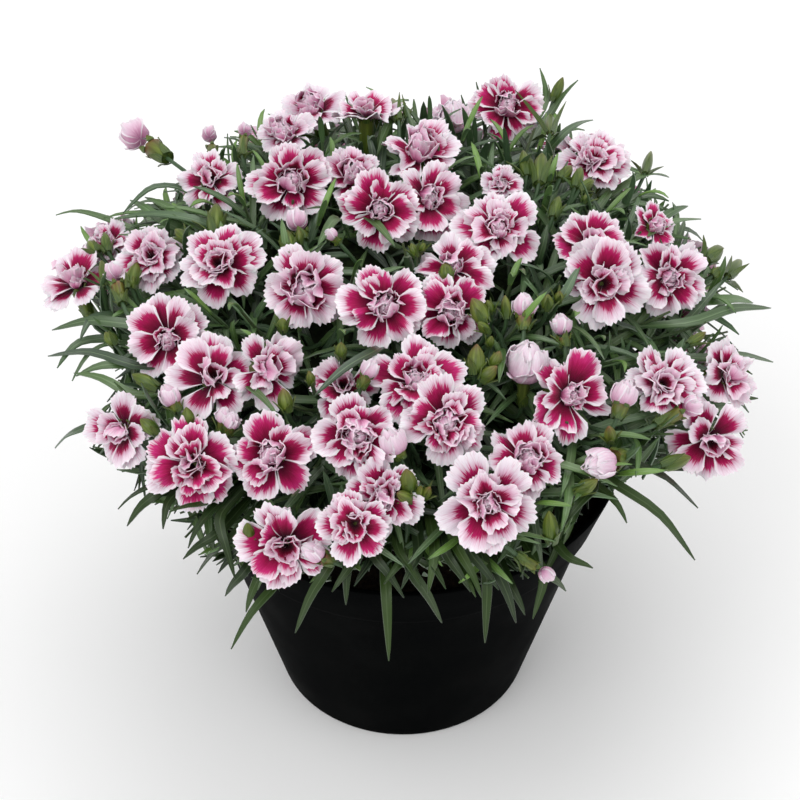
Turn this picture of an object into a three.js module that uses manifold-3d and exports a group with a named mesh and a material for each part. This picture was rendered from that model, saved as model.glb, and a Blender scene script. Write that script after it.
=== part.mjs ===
// A dianthus (garden pink) in full bloom in its round nursery pot. Millimetres, +Z up.
// The origin is the middle of the flat face under the pot, and the front of the plant faces -Y.
import * as THREE from 'three';
import { mergeVertices } from 'three/addons/utils/BufferGeometryUtils.js';
import Module from 'manifold-3d';

const wasm = await Module();
wasm.setup();

// Driving dimensions
const pot = {
  height: 118,
  lipRadius: 85,
  collarHeight: 23,
  collarFootRadius: 78.2,
  wallTopRadius: 75.6,
  wallFootRadius: 51,
  wall: 1.9,
  floor: 2.2,
  recess: 2.4,
  discRadius: 13,
  ringRadius: 41,
  footRounding: 1.2,
  cornerFillet: 3.4,
  drains: 6,
  drainRadius: 4.5,
  drainCircle: 27,
};
const soil = { top: 101, crown: 2.5, gap: 0.3 };
const mound = { centre: new THREE.Vector3(-3, 0, 170), radius: 134, halfHeight: 59 };
// The core's rings as [radius, height]: at the front, and at the sides and back, where the lowest
// leaves lie out over the pot's lip. The share of the back goes from 0 to 1 as the ring turns there.
const core = {
  size: 0.6,
  sides: 13,
  front: [[42, 107], [56, 120], [64, 123], [76, 135], [84, 147], [90, 166], [74, 190], [36, 205]],
  back: [[42, 107], [74, 120.5], [104, 119], [112, 127], [98, 146], [92, 166], [74, 190], [36, 205]],
  turnToBack: 0.35,
  top: 210,
};
const stem = { count: 9, radius: 2.2, sides: 5, depth: 14, spread: 13.5, lean: 1.35 };
const stalk = { radius: 1.2, sides: 4, calyxFoot: 2.4, calyxRim: 4.6, calyxLength: 15, seat: 4.3, cup: 1.1 };
const bud = { sides: 4, stalkRadius: 0.9, radius: 3, length: 11 };
const leaf = { width: 5.6, keel: 1.1, edge: 0.5 };
const spread = { count: 68, tries: 12, touch: 0.6, top: 0.97, span: 1.6, reach: 0.99, seed: 979 };
const hidden = {
  lattice: 420,
  top: 0.98,
  span: 1.42,
  room: 30,
  front: -30,
  turnedAway: -0.1,
  mostTurned: 0.45,
  passing: 0.9,
  sink: 6,
  seed: 4321,
};
const layering = { rounds: 24, slope: 0.55, least: 0.5, step: 0.2 };
const clearance = 0.35;
const sliver = 0.02;        // edges shorter than this are closed up after the cuts and joins
const bloomNodes = 57;      // the most that blooms may take of the object's 60 nodes
const lathe = 28;

// Colours of the finished pieces
const finishes = {
  pot: { color: 0x1d1d1f, roughness: 0.62, metalness: 0 },
  soil: { color: 0x2e2119, roughness: 0.95, metalness: 0 },
  foliage: { color: 0x6f8f63, roughness: 0.6, metalness: 0 },
  bloom: { color: 0xc9316a, roughness: 0.55, metalness: 0 },
};

// Places on the mound are read off a drawing of the plant, seen from the front and above:
// across and down are in the drawing's units from its top left corner. A point is carried from
// the eye through the drawing to the mound's surface.
const drawing = {
  eye: new THREE.Vector3(-1.2, -636.5, 695.2),
  tilt: THREE.MathUtils.degToRad(41.3),
  distance: 2221,
  middle: 400,
};
const forward = new THREE.Vector3(0, Math.cos(drawing.tilt), -Math.sin(drawing.tilt));
const rightward = new THREE.Vector3(1, 0, 0);
const upward = new THREE.Vector3(0, Math.sin(drawing.tilt), Math.cos(drawing.tilt));

// Blooms: across, down, how far the face turns right and up, diameter, lift out of the mound
const blooms = [
  [316, 112, -0.25, 0.65, 25, 0],
  [355, 112, 0.0, 0.88, 29, 0],
  [507, 110, 0.0, 0.15, 29, 0],
  [595, 155, 0.1, 0.6, 31, 0],
  [270, 130, -0.2, 0.6, 21, -4],
  [209, 177, -0.15, 0.35, 27, 0],
  [289, 181, 0.0, 0.15, 34, 0],
  [422, 145, 0.05, 0.6, 34, -2],
  [352, 172, 0.0, 0.35, 26, -7],
  [433, 198, 0.45, 0.1, 31, -1],
  [380, 210, 0.0, -0.05, 33, 2],
  [498, 224, 0.0, 0.35, 34, 0],
  [502, 182, 0.0, 0.4, 18, -7],
  [590, 240, 0.1, 0.35, 28, -2],
  [605, 282, 0.1, 0.0, 34, 1],
  [672, 279, 0.35, -0.2, 32, 0],
  [657, 224, 0.55, 0.3, 20, 0],
  [73, 276, -0.2, 0.7, 30, 0],
  [106, 240, -0.4, 0.4, 20, -3],
  [150, 256, -0.1, 0.2, 27, 0],
  [221, 260, -0.1, 0.3, 33, 0],
  [304, 288, 0.0, 0.0, 33, 1],
  [384, 304, 0.0, 0.0, 33, 1],
  [454, 262, 0.0, 0.5, 32, -2],
  [452, 310, 0.1, 0.1, 29, -4],
  [164, 336, -0.2, 0.0, 34, 0],
  [211, 375, -0.1, 0.35, 34, 0],
  [272, 369, 0.5, 0.0, 29, -5],
  [415, 375, 0.0, 0.45, 35, 0],
  [447, 422, 0.1, -0.1, 34, 1],
  [574, 395, 0.45, 0.0, 34, 0],
  [668, 380, 0.3, 0.3, 31, 0],
  [733, 373, 0.6, 0.1, 29, 0],
  [711, 442, 0.05, -0.3, 32, 0],
  [355, 436, 0.0, -0.1, 32, 1],
  [344, 384, 0.0, 0.4, 26, -9],
  [271, 458, -0.1, 0.0, 33, 0],
  [188, 465, -0.2, -0.1, 35, 0],
  [117, 431, -0.45, -0.1, 29, 0],
  [527, 458, 0.15, 0.4, 30, -1],
  [491, 506, 0.05, -0.15, 36, 2],
  [385, 498, 0.0, -0.1, 29, -1],
  [354, 528, -0.1, -0.2, 27, 0],
  [284, 549, -0.1, -0.35, 34, 0],
];

// Half-open flowers: across, down, turn right, turn up, diameter, lift
const halfOpen = [
  [452, 107, 0.0, 0.5, 17, 0],
  [527, 356, 0.1, 0.2, 16, -2],
];

// Closed buds, and the small ones that show a tip of petal: across, down, lift, thickness
const buds = [
  [138, 138, 4, 1.7], [618, 392, 1, 2], [603, 463, 2, 2], [388, 441, -3, 1.7], [320, 551, 0, 1.7],
  [90, 200, 2, 1], [134, 280, 1, 1], [213, 216, 3, 1], [185, 236, 0, 1], [240, 134, 3, 1], [287, 236, 1, 1],
  [478, 308, 2, 1], [477, 354, 3, 1], [541, 167, 2, 1], [557, 92, 4, 1], [550, 126, 2, 1], [584, 186, 1, 1],
  [647, 162, 6, 1], [397, 108, 2, 1], [716, 254, 3, 1], [734, 267, 4, 1], [548, 303, 1, 1], [680, 462, 3, 1],
  [590, 484, 3, 1], [555, 522, 3, 1], [405, 486, 1, 1], [250, 532, 2, 1], [107, 338, 2, 1], [525, 312, 1, 1],
  [690, 408, 3, 1], [170, 397, 1, 1], [543, 566, 4, 1], [413, 246, 0, 1],
];

// Leaves that show one by one: from across, from down, to across, to down, how far they arch up
const leaves = [
  [95, 215, 56, 215, 5], [182, 187, 123, 213, 14], [200, 220, 112, 219, 6], [190, 222, 145, 197, 3],
  [160, 220, 130, 200, 3], [130, 325, 52, 330, 8], [95, 315, 80, 340, 5], [80, 340, 57, 368, 3],
  [140, 370, 48, 356, 12], [125, 365, 76, 376, 6], [100, 345, 72, 381, 6], [135, 400, 74, 373, 9],
  [80, 430, 55, 448, 4], [150, 488, 118, 509, 5], [155, 495, 127, 526, 6], [167, 500, 163, 529, 4],
  [205, 507, 169, 512, 5], [208, 515, 188, 548, 6], [215, 518, 235, 579, 9], [215, 538, 183, 559, 5],
  [232, 540, 197, 574, 6], [243, 548, 218, 573, 4], [243, 575, 225, 596, 4], [258, 579, 246, 612, 5],
  [276, 588, 231, 649, 10], [331, 567, 295, 633, 10], [347, 563, 346, 605, 6], [369, 554, 404, 598, 7],
  [385, 581, 389, 661, 11], [409, 573, 442, 623, 8], [457, 551, 482, 598, 7], [457, 567, 476, 597, 4],
  [488, 571, 485, 643, 10], [499, 576, 516, 623, 7], [513, 592, 525, 615, 4], [547, 578, 533, 619, 6],
  [548, 100, 540, 68, 3], [552, 112, 578, 80, 4], [565, 132, 593, 120, 3], [640, 176, 669, 177, 3],
  [640, 195, 669, 201, 3], [660, 220, 688, 206, 3], [645, 235, 701, 219, 6], [718, 295, 736, 313, 3],
  [720, 300, 753, 303, 3], [690, 325, 771, 308, 9], [705, 360, 773, 362, 7], [622, 462, 698, 508, 12],
  [620, 488, 695, 560, 13], [612, 498, 627, 523, 4], [600, 485, 558, 533, 6], [570, 562, 593, 568, 4],
  [545, 575, 566, 591, 4], [365, 215, 395, 246, 3], [338, 215, 318, 246, 3], [563, 300, 581, 264, 3],
  [540, 300, 524, 281, 3], [378, 350, 314, 396, 6], [245, 385, 278, 416, 4],
];

// A repeatable draw between 0 and 1
function drawer(seed) {
  let state = seed;
  return () => {
    state = (state * 16807) % 2147483647;
    return state / 2147483647;
  };
}

const goldenAngle = Math.PI * (3 - Math.sqrt(5));

function moundShape(size = 1) {
  return new THREE.Vector3(mound.radius * size, mound.radius * size, mound.halfHeight * size);
}

// Where the line from the eye through a drawn point meets the mound, or passes it nearest
function onMound(across, down, lift = 0, size = 1) {
  const ray = forward.clone().multiplyScalar(drawing.distance)
    .addScaledVector(rightward, across - drawing.middle)
    .addScaledVector(upward, drawing.middle - down).normalize();
  const shape = moundShape(size);
  const from = drawing.eye.clone().sub(mound.centre).divide(shape);
  const way = ray.clone().divide(shape);
  const along = from.dot(way);
  const inside = along * along - way.lengthSq() * (from.lengthSq() - 1);
  const reach = (-along - Math.sqrt(Math.max(inside, 0))) / way.lengthSq();
  return drawing.eye.clone().addScaledVector(ray, reach - lift);
}

function outwardAt(point) {
  const shape = moundShape();
  return point.clone().sub(mound.centre).divide(shape).divide(shape).normalize();
}

// A point on the mound given by its turn round Z and its rise from -1 to 1
function moundPoint(turn, rise, size = 1) {
  const flat = Math.sqrt(1 - rise * rise);
  return new THREE.Vector3(Math.cos(turn) * flat, Math.sin(turn) * flat, rise)
    .multiply(moundShape(size)).add(mound.centre);
}

function closedMesh(points, faces) {
  const geometry = new THREE.BufferGeometry();
  const places = points.flatMap((point) => point.toArray());
  geometry.setAttribute('position', new THREE.Float32BufferAttribute(places, 3));
  geometry.setIndex(faces);
  return geometry;
}

// A closed geometry as a solid, with its faces turned outward
function solidOf(geometry) {
  const plain = geometry.clone();
  plain.deleteAttribute('normal');
  plain.deleteAttribute('uv');
  const merged = mergeVertices(plain, 1e-4);
  const corners = merged.index.array;
  const faces = [];
  for (let at = 0; at < corners.length; at += 3) {
    const [a, b, c] = corners.slice(at, at + 3);
    if (a !== b && b !== c && c !== a) faces.push(a, b, c);
  }
  const vertProperties = new Float32Array(merged.attributes.position.array);
  const build = (list) => new wasm.Manifold(new wasm.Mesh({
    numProp: 3, vertProperties, triVerts: new Uint32Array(list),
  }));
  const body = build(faces);
  return body.volume() > 0 ? body : build(faces.reverse());
}

function geometryOf(body) {
  const mesh = body.getMesh();
  const geometry = new THREE.BufferGeometry();
  const points = new Float32Array(mesh.numVert * 3);
  for (let at = 0; at < mesh.numVert; at++) {
    for (let axis = 0; axis < 3; axis++) {
      points[at * 3 + axis] = mesh.vertProperties[at * mesh.numProp + axis];
    }
  }
  geometry.setAttribute('position', new THREE.BufferAttribute(points, 3));
  geometry.setIndex(new THREE.BufferAttribute(new Uint32Array(mesh.triVerts), 1));
  geometry.computeVertexNormals();
  return geometry;
}

// The largest body that a cut or a join leaves: loose scraps and sealed pockets go
function largest(body) {
  return body.decompose().reduce((most, next) => (next.volume() > most.volume() ? next : most));
}

function boxesMeet(a, b) {
  const first = a.boundingBox();
  const second = b.boundingBox();
  return [0, 1, 2].every((axis) => first.min[axis] < second.max[axis] && second.min[axis] < first.max[axis]);
}

function sharedVolume(a, b) {
  return boxesMeet(a, b) ? a.intersect(b).volume() : 0;
}

// A turned solid about Z from [radius, height] pairs, in the order round its section
function turned(profile, segments = lathe) {
  const points = profile.map(([radius, height]) => new THREE.Vector2(radius, height));
  return new THREE.LatheGeometry(points, segments).rotateX(Math.PI / 2);
}

// A closed body through rings of points; a last single point closes it as a tip
function loft(rings, tip) {
  const sides = rings[0].length;
  const faces = [];
  for (let ring = 0; ring + 1 < rings.length; ring++) {
    for (let side = 0; side < sides; side++) {
      const here = ring * sides + side;
      const next = ring * sides + ((side + 1) % sides);
      faces.push(here, next, next + sides, here, next + sides, here + sides);
    }
  }
  for (let side = 1; side + 1 < sides; side++) faces.push(0, side + 1, side);
  const last = (rings.length - 1) * sides;
  const points = rings.flat();
  points.push(tip);
  for (let side = 0; side < sides; side++) {
    faces.push(last + side, last + ((side + 1) % sides), points.length - 1);
  }
  return closedMesh(points, faces);
}

function acrossAxis(axis) {
  const helper = Math.abs(axis.z) < 0.9 ? new THREE.Vector3(0, 0, 1) : new THREE.Vector3(1, 0, 0);
  return new THREE.Vector3().crossVectors(helper, axis).normalize();
}

// A ring of points about an axis, its first point turned towards the given side
function roundRing(centre, axis, radius, sides, toward = acrossAxis(axis)) {
  const first = toward.clone().addScaledVector(axis, -toward.dot(axis)).normalize();
  const second = new THREE.Vector3().crossVectors(axis, first);
  return Array.from({ length: sides }, (_, side) => {
    const turn = (side / sides) * Math.PI * 2;
    return centre.clone().addScaledVector(first, Math.cos(turn) * radius)
      .addScaledVector(second, Math.sin(turn) * radius);
  });
}

// Pot: a tapered wall with a collar, a foot ring and a small flat disc under the middle of its floor
function makePot() {
  const ledge = pot.height - pot.collarHeight;
  const { wall, recess, floor, wallFootRadius: foot, footRounding: round, cornerFillet: fillet } = pot;
  const lip = pot.lipRadius;
  const body = solidOf(turned([
    [0, 0],
    [pot.discRadius, 0],
    [pot.discRadius + 1.5, recess],
    [pot.ringRadius - 1.5, recess],
    [pot.ringRadius, 0],
    [foot - round, 0],
    [foot - round * 0.2, round * 0.3],
    [foot + round * 0.4, round * 2],
    [pot.wallTopRadius, ledge],
    [pot.collarFootRadius, ledge],
    [lip, pot.height - 1.5],
    [lip - wall, pot.height],
    [pot.collarFootRadius - wall, ledge + wall],
    [pot.wallTopRadius - wall, ledge - wall],
    [foot - wall + 0.6, recess + floor + fillet],
    [foot - wall + 0.6 - fillet, recess + floor],
    [0, recess + floor],
  ]));
  const drains = Array.from({ length: pot.drains }, (_, at) => {
    const turn = ((at + 0.5) / pot.drains) * Math.PI * 2;
    const hole = new THREE.CylinderGeometry(pot.drainRadius, pot.drainRadius, 4 * floor, 8);
    hole.rotateX(Math.PI / 2);
    hole.translate(Math.cos(turn) * pot.drainCircle, Math.sin(turn) * pot.drainCircle, recess);
    return solidOf(hole);
  });
  return body.subtract(wasm.Manifold.union(drains));
}

// Soil: fills the pot to a low crown, with a plain hole for each woody stem
function makeSoil(holes) {
  const ledge = pot.height - pot.collarHeight;
  const side = pot.wall + soil.gap;
  const foot = pot.wallFootRadius;
  const bottom = pot.recess + pot.floor + soil.gap;
  const collarSlope = (pot.lipRadius - pot.collarFootRadius) / (pot.collarHeight - pot.wall);
  const edge = pot.collarFootRadius - side - 0.2 + (soil.top - ledge - pot.wall) * collarSlope;
  const body = solidOf(turned([
    [0, bottom],
    [foot - side + 0.2 - pot.cornerFillet, bottom],
    [foot - side + 0.2, bottom + pot.cornerFillet],
    [pot.wallTopRadius - side - 0.2, ledge - pot.wall],
    [pot.collarFootRadius - side - 0.6, ledge + pot.wall + 0.4],
    [edge - 0.4, soil.top],
    [edge * 0.5, soil.top + soil.crown * 0.8],
    [0, soil.top + soil.crown],
  ]));
  return body.subtract(wasm.Manifold.union(holes));
}

// Woody stems: straight down into the soil, leaning outward above it, up into the core
function makeStem(at, grow = 0) {
  const turn = at * goldenAngle;
  const away = stem.spread * Math.sqrt(at);
  const radius = stem.radius + grow;
  const foot = new THREE.Vector3(Math.cos(turn) * away, Math.sin(turn) * away, soil.top - stem.depth - grow);
  const collar = foot.clone().setZ(soil.top + 8);
  const head = new THREE.Vector3(foot.x * stem.lean, foot.y * stem.lean, mound.centre.z - 8);
  const up = new THREE.Vector3(0, 0, 1);
  const rings = [
    roundRing(foot, up, radius, stem.sides),
    roundRing(collar, up, radius, stem.sides),
  ];
  return solidOf(loft(rings, head));
}

function makeCore() {
  const rings = core.front.map(([frontRadius, frontHeight], at) => {
    const [backRadius, backHeight] = core.back[at];
    return Array.from({ length: core.sides }, (_, side) => {
      const turn = (side / core.sides) * Math.PI * 2;
      const share = THREE.MathUtils.smoothstep(Math.sin(turn), -core.turnToBack, core.turnToBack);
      const radius = THREE.MathUtils.lerp(frontRadius, backRadius, share);
      const height = THREE.MathUtils.lerp(frontHeight, backHeight, share);
      return new THREE.Vector3(Math.cos(turn) * radius, Math.sin(turn) * radius, height)
        .add(mound.centre.clone().setZ(0));
    });
  });
  return solidOf(loft(rings, mound.centre.clone().setZ(core.top)));
}

// The outline of one layer of a bloom: petals with toothed ends, and a notch between each two
function petalRing({ petals, teeth, reach, notch, rise, wave }, spin, draw) {
  const steps = 2 * teeth;
  const ring = [];
  for (let petal = 0; petal < petals; petal++) {
    const own = 0.92 + 0.13 * draw();
    const tilt = (draw() - 0.5) * 2 * wave;
    for (let step = 0; step < steps; step++) {
      const part = step / steps;
      const bow = 1 - 0.35 * (part - 0.5) ** 2;
      const tooth = step % 2 === 1;
      const radius = reach * (step === 0 ? notch : own * bow * (tooth ? 1 : 0.87));
      const turn = spin + ((petal + part) / petals) * Math.PI * 2;
      const height = rise * (radius / reach) + (step === 0 ? 0 : tilt + (tooth ? wave : -wave) * 0.5);
      ring.push({ radius, turn, height });
    }
  }
  return ring;
}

function plainRing(count, radius, height, spin) {
  const step = (Math.PI * 2) / count;
  return Array.from({ length: count }, (_, at) => ({ radius, height, turn: spin + at * step }));
}

// Joins two rings of different counts, both in order of turn from the same start
function joinRings(low, high, lowStart, highStart) {
  const faces = [];
  let atLow = 0;
  let atHigh = 0;
  const turnOf = (ring, at) => ring[at % ring.length].turn + (at >= ring.length ? Math.PI * 2 : 0);
  while (atLow < low.length || atHigh < high.length) {
    const stepLow = atHigh >= high.length
      || (atLow < low.length && turnOf(low, atLow + 1) < turnOf(high, atHigh + 1));
    const a = lowStart + (atLow % low.length);
    const b = highStart + (atHigh % high.length);
    if (stepLow) {
      atLow += 1;
      faces.push(a, lowStart + (atLow % low.length), b);
    } else {
      atHigh += 1;
      faces.push(a, highStart + (atHigh % high.length), b);
    }
  }
  return faces;
}

// How high the layers stand, as shares of the bloom's radius: wide open, and half open
const spreading = { outer: 0.24, waist: 0.1, inner: 0.5, heart: 0.62, wave: 1 };
const upright = { outer: 0.9, waist: 0.5, inner: 1.3, heart: 1.35, wave: 0.35 };

// A double bloom about its own axis: outer petals, ruffled inner petals and a tuft, as one closed body
function makeBloom(plan, grow = 1, shift = 0) {
  const draw = drawer(plan.seed);
  const size = (plan.width / 2) * grow;
  const spin = draw() * Math.PI * 2;
  const rise = plan.half ? upright : spreading;
  const layer = (petals, teeth, reach, notch, height, wave) => petalRing({
    petals, teeth, notch, reach: size * reach, rise: size * height, wave: size * wave * rise.wave,
  }, spin, draw);
  const rings = [
    layer(5, 3, 1, 0.5, rise.outer, 0.09),
    plainRing(5, size * 0.3, size * rise.waist, spin),
    layer(4, 2, 0.66, 0.62, rise.inner, 0.08),
  ];
  if (plan.tuft) {
    rings.push(plainRing(3, size * 0.16, size * 0.42, spin));
    rings.push(layer(3, 1, 0.34, 0.7, 0.72, 0));
  }
  const axis = plan.axis;
  const first = acrossAxis(axis);
  const second = new THREE.Vector3().crossVectors(axis, first);
  const base = plan.base.clone().addScaledVector(axis, shift);
  const place = ({ radius, turn, height }) => base.clone()
    .addScaledVector(first, Math.cos(turn) * radius)
    .addScaledVector(second, Math.sin(turn) * radius)
    .addScaledVector(axis, height);
  const points = [base.clone().addScaledVector(axis, -stalk.seat + clearance)];
  const faces = [];
  let start = 1;
  rings.forEach((ring, at) => {
    points.push(...ring.map(place));
    if (at === 0) {
      ring.forEach((_, step) => faces.push(0, start + ((step + 1) % ring.length), start + step));
    } else {
      faces.push(...joinRings(rings[at - 1], ring, start - rings[at - 1].length, start));
    }
    start += ring.length;
  });
  const inner = rings[rings.length - 1];
  points.push(base.clone().addScaledVector(axis, size * rise.heart));
  inner.forEach((_, step) => {
    faces.push(start - inner.length + step, start - inner.length + ((step + 1) % inner.length), start);
  });
  return solidOf(closedMesh(points, faces));
}

// A flower stalk from the core to a calyx, whose cup holds the foot of the bloom
function makeStalk(plan, grow = 0) {
  const seat = plan.base.clone().addScaledVector(plan.axis, -stalk.seat);
  const slim = plan.half || plan.width < 22 ? 0.72 : 1;
  const foot = seat.clone().addScaledVector(plan.axis, -stalk.calyxLength * slim);
  const root = mound.centre.clone().lerp(foot, (core.size - 0.12) / Math.max(core.size, depthOf(foot)));
  const along = foot.clone().sub(root).normalize();
  const rim = seat.clone().addScaledVector(plan.axis, stalk.cup * slim + grow);
  const toward = acrossAxis(along.clone().add(plan.axis).normalize());
  const rings = [
    roundRing(root, along, stalk.radius + grow, stalk.sides, toward),
    roundRing(foot, plan.axis, stalk.calyxFoot * slim + grow, stalk.sides, toward),
    roundRing(rim, plan.axis, stalk.calyxRim * slim + grow, stalk.sides, toward),
  ];
  return solidOf(loft(rings, seat));
}

// How far out a point lies, as a share of the mound's size
function depthOf(point) {
  return point.clone().sub(mound.centre).divide(moundShape()).length();
}

function makeBud([across, down, lift, thickness], grow = 0) {
  const tip = onMound(across, down, lift + bud.length / 2);
  const axis = outwardAt(tip).add(new THREE.Vector3(0, 0, 0.8)).normalize();
  const foot = tip.clone().addScaledVector(axis, -bud.length);
  const root = mound.centre.clone().lerp(foot, (core.size - 0.12) / Math.max(core.size, depthOf(foot)));
  const along = foot.clone().sub(root).normalize();
  const widest = foot.clone().addScaledVector(axis, bud.length * 0.4);
  const toward = acrossAxis(along.clone().add(axis).normalize());
  const rings = [
    roundRing(root, along, bud.stalkRadius + grow, bud.sides, toward),
    roundRing(foot, axis, bud.stalkRadius + grow, bud.sides, toward),
    roundRing(widest, axis, bud.radius * thickness + grow, bud.sides, toward),
  ];
  return solidOf(loft(rings, tip));
}

// A keeled blade along a curve: widest before its middle, drawn out to a point
function makeBlade(curve, width, stations) {
  const rings = stations.map(([part, share]) => {
    const at = curve.getPoint(part);
    const along = curve.getTangent(part);
    const out = outwardAt(at).add(new THREE.Vector3(0, 0, 0.3));
    const side = new THREE.Vector3().crossVectors(along, out).normalize();
    const face = new THREE.Vector3().crossVectors(side, along).normalize();
    return [
      at.clone().addScaledVector(side, -width * share * 0.5).addScaledVector(face, leaf.edge),
      at.clone().addScaledVector(side, width * share * 0.5).addScaledVector(face, leaf.edge),
      at.clone().addScaledVector(face, -leaf.keel),
    ];
  });
  return solidOf(loft(rings, curve.getPoint(1)));
}

// A leaf that shows by itself: its shoot starts in the core
function makeNamedLeaf([fromAcross, fromDown, toAcross, toDown, arch]) {
  const from = onMound(fromAcross, fromDown, -6);
  const to = onMound(toAcross, toDown, 2);
  const root = mound.centre.clone().lerp(from, (core.size - 0.1) / Math.max(core.size, depthOf(from)));
  const over = from.clone().lerp(to, 0.5).add(new THREE.Vector3(0, 0, arch * 0.5));
  const curve = new THREE.CatmullRomCurve3([root, from, over, to], false, 'centripetal');
  return makeBlade(curve, leaf.width, [[0, 0.45], [0.42, 0.75], [0.68, 1]]);
}

// Leaves all over the mound, from the core out between the blooms
function makeSpreadLeaf(at, draw) {
  const turn = at * goldenAngle + draw() * 0.8;
  const rise = spread.top - spread.span * ((at + 0.5) / spread.count);
  const root = moundPoint(turn, rise, core.size - 0.2);
  const reach = spread.reach + 0.13 * draw();
  const swing = (draw() - 0.5) * (rise > 0.45 ? 2.2 : 1);
  const drop = (draw() - 0.62) * 0.6;
  const tip = moundPoint(turn + swing, THREE.MathUtils.clamp(rise + drop, -0.85, 0.97), reach);
  const arch = outwardAt(tip).multiplyScalar(6).add(new THREE.Vector3(0, 0, 7));
  const over = root.clone().lerp(tip, 0.55).add(arch);
  const curve = new THREE.QuadraticBezierCurve3(root, over, tip);
  return makeBlade(curve, leaf.width, [[0.12, 0.7], [0.55, 1]]);
}

// Whether a flower stands in front of a point of the mound, as seen from the eye
function standsBefore(flower, point) {
  const sight = point.clone().sub(drawing.eye);
  const nearer = flower.eye.clone().sub(drawing.eye);
  const along = nearer.dot(sight) / sight.length();
  const beside = Math.sqrt(Math.max(nearer.lengthSq() - along * along, 0));
  return along < sight.length() - 4 && beside < flower.width * 0.42;
}

// How far from the mound's middle the sight line to a point passes: 0 is its middle, 1 its outline
function passing(point) {
  const shape = moundShape();
  const from = drawing.eye.clone().sub(mound.centre).divide(shape);
  const way = point.clone().sub(drawing.eye).divide(shape).normalize();
  return from.addScaledVector(way, -from.dot(way)).length();
}

// What the drawing doesn't show: a golden-angle lattice, wherever there is room
function hiddenBlooms(shown) {
  const draw = drawer(hidden.seed);
  const found = [];
  for (let at = 0; at < hidden.lattice; at++) {
    const rise = hidden.top - hidden.span * ((at + 0.5) / hidden.lattice);
    const eye = moundPoint(at * goldenAngle, rise);
    const width = 27 + 8 * draw();
    const out = outwardAt(eye);
    const seen = out.dot(drawing.eye.clone().sub(eye).normalize());
    const crowded = [...shown, ...found].some((other) => other.eye.distanceTo(eye) < hidden.room);
    const covered = shown.some((other) => standsBefore(other, eye));
    const behind = seen < hidden.turnedAway && passing(eye) < hidden.passing;
    const under = covered && seen < hidden.mostTurned;
    if (crowded || eye.y < hidden.front || !(behind || under)) continue;
    if (!behind) eye.addScaledVector(out, -hidden.sink);
    const axis = out.clone()
      .add(new THREE.Vector3((draw() - 0.5) * 0.5, (draw() - 0.5) * 0.5, 0.25 + 0.3 * draw())).normalize();
    found.push({ eye, axis, way: axis, width, half: false, tuft: false });
  }
  return found;
}

function planFlower([across, down, right, up, width, lift], half) {
  const eye = onMound(across, down, lift);
  const toward = Math.sqrt(1 - right * right - up * up);
  const axis = forward.clone().multiplyScalar(-toward)
    .addScaledVector(rightward, right).addScaledVector(upward, up).normalize();
  const way = drawing.eye.clone().sub(eye).normalize();
  return { eye, axis, way, width, half, tuft: !half && width > 22 };
}

// Neighbours that would run into each other are eased one over the other, along each one's own way
function layerFlowers(plans) {
  for (let round = 0; round < layering.rounds; round++) {
    for (let a = 0; a < plans.length; a++) {
      for (let b = a + 1; b < plans.length; b++) {
        const apart = plans[b].eye.clone().sub(plans[a].eye);
        const reach = (plans[a].width + plans[b].width) / 2;
        if (apart.length() > reach) continue;
        const mean = plans[a].axis.clone().add(plans[b].axis).normalize();
        const above = apart.dot(mean);
        const beside = apart.addScaledVector(mean, -above).length();
        const missing = layering.slope * (reach - beside) + layering.least - Math.abs(above);
        if (missing <= 0) continue;
        const [front, back] = above >= 0 ? [plans[b], plans[a]] : [plans[a], plans[b]];
        front.eye.addScaledVector(front.way, missing * layering.step);
        back.eye.addScaledVector(back.way, -missing * layering.step);
      }
    }
  }
}

// All the flowers: where each sits, where it faces and how wide it opens
const flowers = [
  ...blooms.map((row) => planFlower(row, false)),
  ...halfOpen.map((row) => planFlower(row, true)),
];
flowers.push(...hiddenBlooms(flowers));
layerFlowers(flowers);
flowers.forEach((plan, at) => {
  plan.name = String(at + 1).padStart(2, '0');
  plan.seed = 101 + 37 * at;
  plan.base = plan.eye.clone().addScaledVector(plan.axis, -plan.width * (plan.half ? 0.6 : 0.2));
});

// Each bloom gives way to the stalks and buds of its neighbours, and where two blooms cross, the
// ones that cross most share a node and the others are trimmed clear of each other
const thickStalks = flowers.map((plan) => makeStalk(plan, clearance));
const thickBuds = buds.map((row) => makeBud(row, clearance));
const guardShifts = [0, clearance, -clearance];
const guardsOf = flowers.map((plan) => guardShifts.map((shift) => makeBloom(plan, 1.05, shift)));
const bloomBodies = flowers.map((plan) => {
  let body = makeBloom(plan);
  for (const way of [...thickStalks, ...thickBuds]) {
    if (sharedVolume(body, way) > 0) body = largest(body.subtract(way));
  }
  return body;
});

const crossings = [];
for (let a = 0; a < flowers.length; a++) {
  for (let b = a + 1; b < flowers.length; b++) {
    const volume = sharedVolume(bloomBodies[a], bloomBodies[b]);
    if (volume > 0) crossings.push({ a, b, volume });
  }
}
crossings.sort((one, other) => one.volume - other.volume);
const group = flowers.map((_, at) => at);
let nodesLeft = flowers.length;
for (const { a, b } of crossings) {
  const sizeOf = (id) => group.filter((other) => other === id).length;
  if (nodesLeft <= bloomNodes || group[a] === group[b] || sizeOf(group[a]) + sizeOf(group[b]) > 3) continue;
  const joined = group[b];
  group.forEach((id, at) => { if (id === joined) group[at] = group[a]; });
  nodesLeft -= 1;
}
for (const { a, b } of crossings) {
  if (group[a] === group[b]) continue;
  const [stays, gives] = flowers[a].width >= flowers[b].width ? [a, b] : [b, a];
  for (const guard of [...guardsOf[stays], bloomBodies[stays]]) {
    if (sharedVolume(bloomBodies[gives], bloomBodies[stays]) === 0) break;
    bloomBodies[gives] = largest(bloomBodies[gives].subtract(guard));
  }
}

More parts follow.
